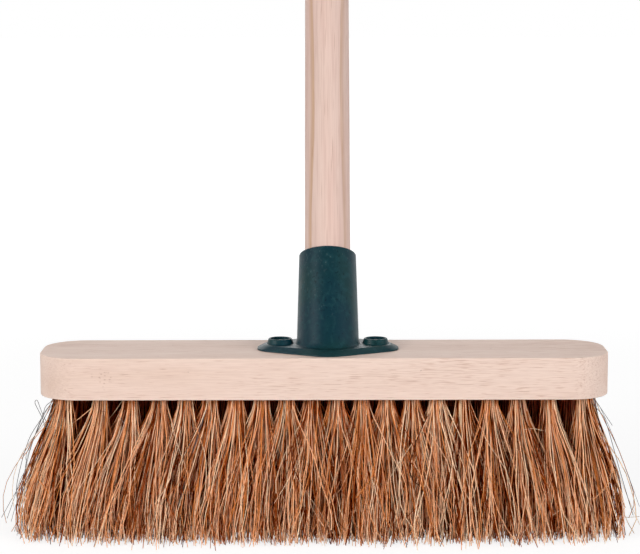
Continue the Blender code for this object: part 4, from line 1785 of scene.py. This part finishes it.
@dataclass
class StrayFibres:
    """Loose fibres: grey ones that stand out at the ends, their grey painted light from the white backdrop
    round such thin fibres, and pale ones caught in the tufts.

    Their knots are in millimetres. Each starts at the tuft that is nearest to its first knot, or lies
    caught between tufts. All but the first, turned half round and drawn in, stand out of the broom's back.
    """

    block: HeadBlock
    thin: float = 0.00014
    thick: float = 0.00021
    points: int = 22
    seed: int = 5
    half_round: Vector3 = (-0.95, -1.0, 1.0)
    mouth_height: float = 1.0
    grey_tone: float = 0.6
    pale_tone: float = 0.95
    hue: float = 0.4
    standing: tuple[Route, ...] = (
        ((-149.3, -10.0, 54.0), (-151.6, -10.3, 58.4), (-154.0, -10.6, 63.4), (-155.6, -10.9, 67.3),
         (-154.3, -11.1, 68.7), (-152.6, -11.4, 64.2), (-150.9, -11.7, 59.8), (-148.7, -12.0, 55.5)),
        ((-146.6, -8.0, 67.9), (-150.1, -9.5, 64.9), (-152.0, -11.0, 59.1), (-156.8, -12.5, 51.8),
         (-159.9, -14.0, 45.0), (-163.1, -15.5, 34.3), (-165.5, -17.0, 23.1), (-165.3, -18.5, 17.4),
         (-164.1, -20.0, 10.6)),
        ((-148.3, -4.0, 64.9), (-153.1, -5.2, 57.4), (-158.9, -6.4, 41.6), (-163.9, -7.6, 24.2),
         (-169.7, -8.8, 13.4), (-175.1, -10.0, 3.7)),
        ((-152.8, -12.0, 55.0), (-160.3, -14.0, 40.0), (-159.9, -16.0, 33.3), (-163.5, -18.0, 26.1),
         (-166.9, -20.0, 15.6), (-170.3, -22.0, 6.2)),
        ((-151.9, -2.0, 59.0), (-157.1, -4.8, 46.8), (-161.6, -7.6, 33.6), (-162.0, -10.4, 21.5),
         (-166.4, -13.2, 12.3), (-169.0, -16.0, 3.0)),
        ((-157.9, -18.0, 28.3), (-161.6, -18.7, 26.0), (-163.4, -19.3, 24.5), (-159.8, -20.0, 24.1)),
        ((-161.8, -22.0, 16.1), (-163.8, -26.0, 7.2), (-165.2, -30.0, 1.1)),
        ((-159.9, -28.0, 14.8), (-162.2, -32.0, 5.5), (-163.1, -36.0, 0.5)),
        ((145.9, -6.0, 67.5), (149.0, -7.5, 63.4), (156.1, -9.0, 47.7), (164.4, -10.5, 26.5),
         (170.5, -12.0, 9.7)),
        ((144.5, -10.0, 66.1), (148.4, -14.0, 61.9), (151.7, -16.0, 55.2), (159.0, -18.0, 29.9),
         (166.0, -20.0, 6.8)),
        ((147.6, -2.0, 65.6), (150.9, -2.0, 60.6), (156.5, -2.0, 52.3)),
        ((153.9, -4.0, 43.7), (159.4, -8.0, 27.2), (165.6, -12.0, 11.3), (170.3, -16.0, 0.6)),
        ((155.2, -14.0, 30.7), (160.2, -15.0, 17.7), (161.9, -16.0, 6.0), (165.0, -17.0, 5.2),
         (169.7, -18.0, 5.7)),
        ((157.3, -20.0, 18.9), (161.7, -25.0, 5.9), (164.6, -34.0, 0.6)),
    )
    caught: tuple[Route, ...] = (
        ((-108.6, -29.1, 62.3), (-111.5, -32.6, 53.3), (-116.1, -35.6, 45.9), (-127.2, -42.3, 30.2),
         (-130.1, -44.9, 24.4), (-131.5, -46.8, 20.0)),
        ((118.8, -42.3, 30.2), (116.4, -45.1, 23.9), (110.4, -49.1, 14.7), (101.7, -54.2, 3.2)),
        ((-15.8, -39.6, 36.6), (-13.7, -41.7, 31.7), (-4.2, -47.4, 18.6), (4.7, -53.1, 5.6)),
        ((105.8, -31.8, 56.4), (110.5, -31.7, 56.9), (115.8, -32.0, 55.9)),
        ((-118.1, -50.7, 12.4), (-114.0, -49.6, 14.8), (-110.4, -48.7, 16.8)),
        ((115.6, -41.5, 33.3), (118.4, -40.0, 36.7)),
        ((119.2, -49.8, 14.4), (124.6, -48.3, 17.7)),
        ((-81.0, -29.8, 59.7), (-77.1, -34.5, 47.8), (-72.6, -39.3, 36.5), (-70.3, -45.7, 21.9)),
        ((-62.6, -27.2, 66.2), (-67.6, -32.9, 51.2), (-72.6, -40.2, 34.0), (-77.5, -48.1, 16.1)),
        ((-109.1, -28.3, 63.8), (-105.9, -30.0, 59.2), (-107.4, -31.3, 55.8), (-111.3, -35.5, 45.4)),
    )

    def rooted(self, route: Route) -> Route:
        """Let a route start at the mouth of the nearest tuft's hole.

        Args:
            route: the route's knots.

        Returns:
            The route with the mouth before its first knot.
        """
        holes = [
            (MILLIMETRES * along, MILLIMETRES * self.block.across(row))
            for row in Row for along in self.block.places(row)
        ]
        near = min(holes, key=lambda hole: math.dist(hole, route[0][:2]))
        return ((*near, MILLIMETRES * self.block.underside + self.mouth_height), *route)

    def build(self) -> bpy.types.Object:
        """Lay and dress the strays, at the front and, turned half round, at the back.

        Returns:
            All of them as one piece.
        """
        chance = np.random.default_rng(self.seed)
        routes = [self.rooted(route) for route in self.standing] + list(self.caught)
        paths = np.array([smooth_line(route, self.points) for route in routes]) / MILLIMETRES
        # The standing strays get the painted backdrop grey
        grey = np.array([1.0] * len(self.standing) + [0.0] * len(self.caught))
        paths = np.concatenate([paths, paths[1:] * np.array(self.half_round)])
        grey = np.concatenate([grey, grey[1:]])
        count = len(paths)
        radii = np.repeat(chance.uniform(self.thin, self.thick, count)[:, None], self.points, axis=1)
        tone = np.where(grey > 0, self.grey_tone, self.pale_tone)
        batch = Fibres(paths, radii, tone, np.full(count, self.hue), grey)
        return dress(batch.laid("coir_stray_fibres"), CoirFibre().material())


# The studio


@dataclass(frozen=True)
class Lamp:
    """One soft lamp: where it hangs, its width and height, its power in watts and its colour.

    One that doesn't shine lights the broom without a reflection, and one that doesn't light is seen in
    its gloss alone.
    """

    name: str
    spot: Vector3
    size: Span
    power: float
    colour: Colour = (1.0, 1.0, 1.0)
    lights: bool = True
    shines: bool = True

    def hang(self, target: Vector3) -> None:
        """Hang the lamp so that it faces a target.

        Args:
            target: the spot that it faces.
        """
        light = bpy.data.lights.new(self.name, "AREA")
        light.shape = "RECTANGLE"
        light.size, light.size_y = self.size
        light.energy = self.power
        light.color = self.colour
        thing = link(self.name, light)
        thing.visible_diffuse = self.lights
        thing.visible_glossy = self.shines
        turn = (Vector(target) - Vector(self.spot)).to_track_quat("-Z", "Y").to_matrix().to_4x4()
        thing.matrix_world = Matrix.Translation(self.spot) @ turn


@dataclass
class Studio:
    """A white studio: a pale floor that keeps the shadow, soft lamps and the camera."""

    eye: Vector3 = (-0.0021, -1.119, 0.2860)
    pitch: float = math.radians(7.75)
    roll: float = math.radians(-0.10)
    focal_share: float = 2096 / 640
    sensor: float = 36.0
    daylight: Colour = (0.96, 0.98, 1.0)
    daylight_strength: float = 0.18
    backdrop_span: Span = (-0.12, 0.68)
    backdrop_top: Span = (0.80, 0.40)
    gloss_front: float = 0.05
    floor_size: float = 12.0
    floor_colour: Colour = (0.28, 0.28, 0.28)
    floor_roughness: float = 0.9
    floor_lift: float = 0.80
    lit_reach: Span = (0.45, 1.60)
    target: Vector3 = (0.0, 0.0, 0.1)
    lamps: tuple[Lamp, ...] = (
        Lamp("key_left", (-1.42, -1.38, 0.75), (0.60, 1.1), 32.0, (1.0, 0.985, 0.965), shines=False),
        Lamp("key_right", (1.60, -1.20, 0.65), (1.2, 1.2), 30.7, shines=False),
        Lamp("glint_left", (-1.68, -1.05, 0.75), (0.60, 1.1), 18.5, lights=False),
        Lamp("glint_right", (1.85, -0.70, 0.75), (0.80, 1.1), 3.4, lights=False),
        Lamp("fill_top", (0.0, 0.2, 2.2), (1.6, 1.6), 0.4),
        Lamp("fill_back", (-0.15, 1.9, 1.2), (1.4, 1.0), 11.5),
    )

    def camera(self) -> None:
        """Stand the camera where the photograph was taken from."""
        lens = bpy.data.cameras.new("camera")
        lens.sensor_width = self.sensor
        lens.lens = self.sensor * self.focal_share
        thing = link("camera", lens)
        turn = Matrix.Rotation(math.pi / 2 - self.pitch, 4, "X") @ Matrix.Rotation(self.roll, 4, "Z")
        thing.matrix_world = Matrix.Translation(self.eye) @ turn
        bpy.context.scene.camera = thing

    def background(self) -> None:
        """A world that lights softly and is seen white; gloss sees white on the backdrop's side alone."""
        world = bpy.data.worlds.new("studio")
        bpy.context.scene.world = world
        world.use_nodes = True
        kit = Wiring(world.node_tree)
        soft = kit.tree.nodes["Background"]
        kit.feed(soft.inputs["Color"], self.daylight)
        soft.inputs["Strength"].default_value = self.daylight_strength
        white = kit.add("ShaderNodeBackground")
        kit.feed(white.inputs["Color"], (1.0, 1.0, 1.0))
        rays = kit.add("ShaderNodeLightPath")
        direction = kit.split(kit.add("ShaderNodeTexCoord").outputs["Generated"])
        backdrop = kit.between(direction["Y"], *self.backdrop_span, self.gloss_front, 1.0)
        wall = kit.between(direction["Z"], *self.backdrop_top)
        gloss = kit.sum("MULTIPLY", rays.outputs["Is Glossy Ray"], kit.sum("MULTIPLY", backdrop, wall))
        seen = kit.sum("MAXIMUM", rays.outputs["Is Camera Ray"], rays.outputs["Is Transmission Ray"])
        mix = kit.add("ShaderNodeMixShader")
        kit.feed(mix.inputs[0], kit.sum("MAXIMUM", seen, gloss))
        kit.feed(mix.inputs[1], soft.outputs[0])
        kit.feed(mix.inputs[2], white.outputs[0])
        kit.feed(kit.tree.nodes["World Output"].inputs["Surface"], mix.outputs[0])

    def floor(self) -> None:
        """A wide floor that is seen white and keeps the shadow; past the lamps' reach it is lifted more."""
        mesh = bmesh.new()
        bmesh.ops.create_grid(mesh, x_segments=1, y_segments=1, size=self.floor_size)
        thing = object_of("studio_floor", mesh)
        kit = Finish("studio_floor")
        kit.finish(self.floor_colour, self.floor_roughness, specular=0.0)
        rays = kit.add("ShaderNodeLightPath")
        seen = kit.sum("MAXIMUM", rays.outputs["Is Camera Ray"], rays.outputs["Is Glossy Ray"])
        away = kit.add("ShaderNodeVectorMath", operation="LENGTH")
        kit.feed(away.inputs[0], kit.place)
        lift = kit.between(away.outputs["Value"], *self.lit_reach, self.floor_lift, 1.0)
        kit.feed(kit.shader.inputs["Emission Color"], (1.0, 1.0, 1.0))
        kit.feed(kit.shader.inputs["Emission Strength"], kit.sum("MULTIPLY", seen, lift))
        thing.data.materials.append(kit.material)

    def build(self) -> None:
        """Set up the whole studio."""
        self.camera()
        self.background()
        self.floor()
        for lamp in self.lamps:
            lamp.hang(self.target)
        bpy.context.scene.view_settings.view_transform = "Standard"


def main() -> None:
    """Build the studio and the broom."""
    logging.basicConfig(level=logging.INFO, format="%(name)s: %(message)s")
    Studio().build()
    block = HeadBlock()
    block.build()
    bracket = SocketBracket()
    bracket.build()
    Handle(bracket.placing).build()
    Screws(bracket).build()
    CoirRows(block).build()
    StrayFibres(block).build()


if __name__ == "__main__":
    main()
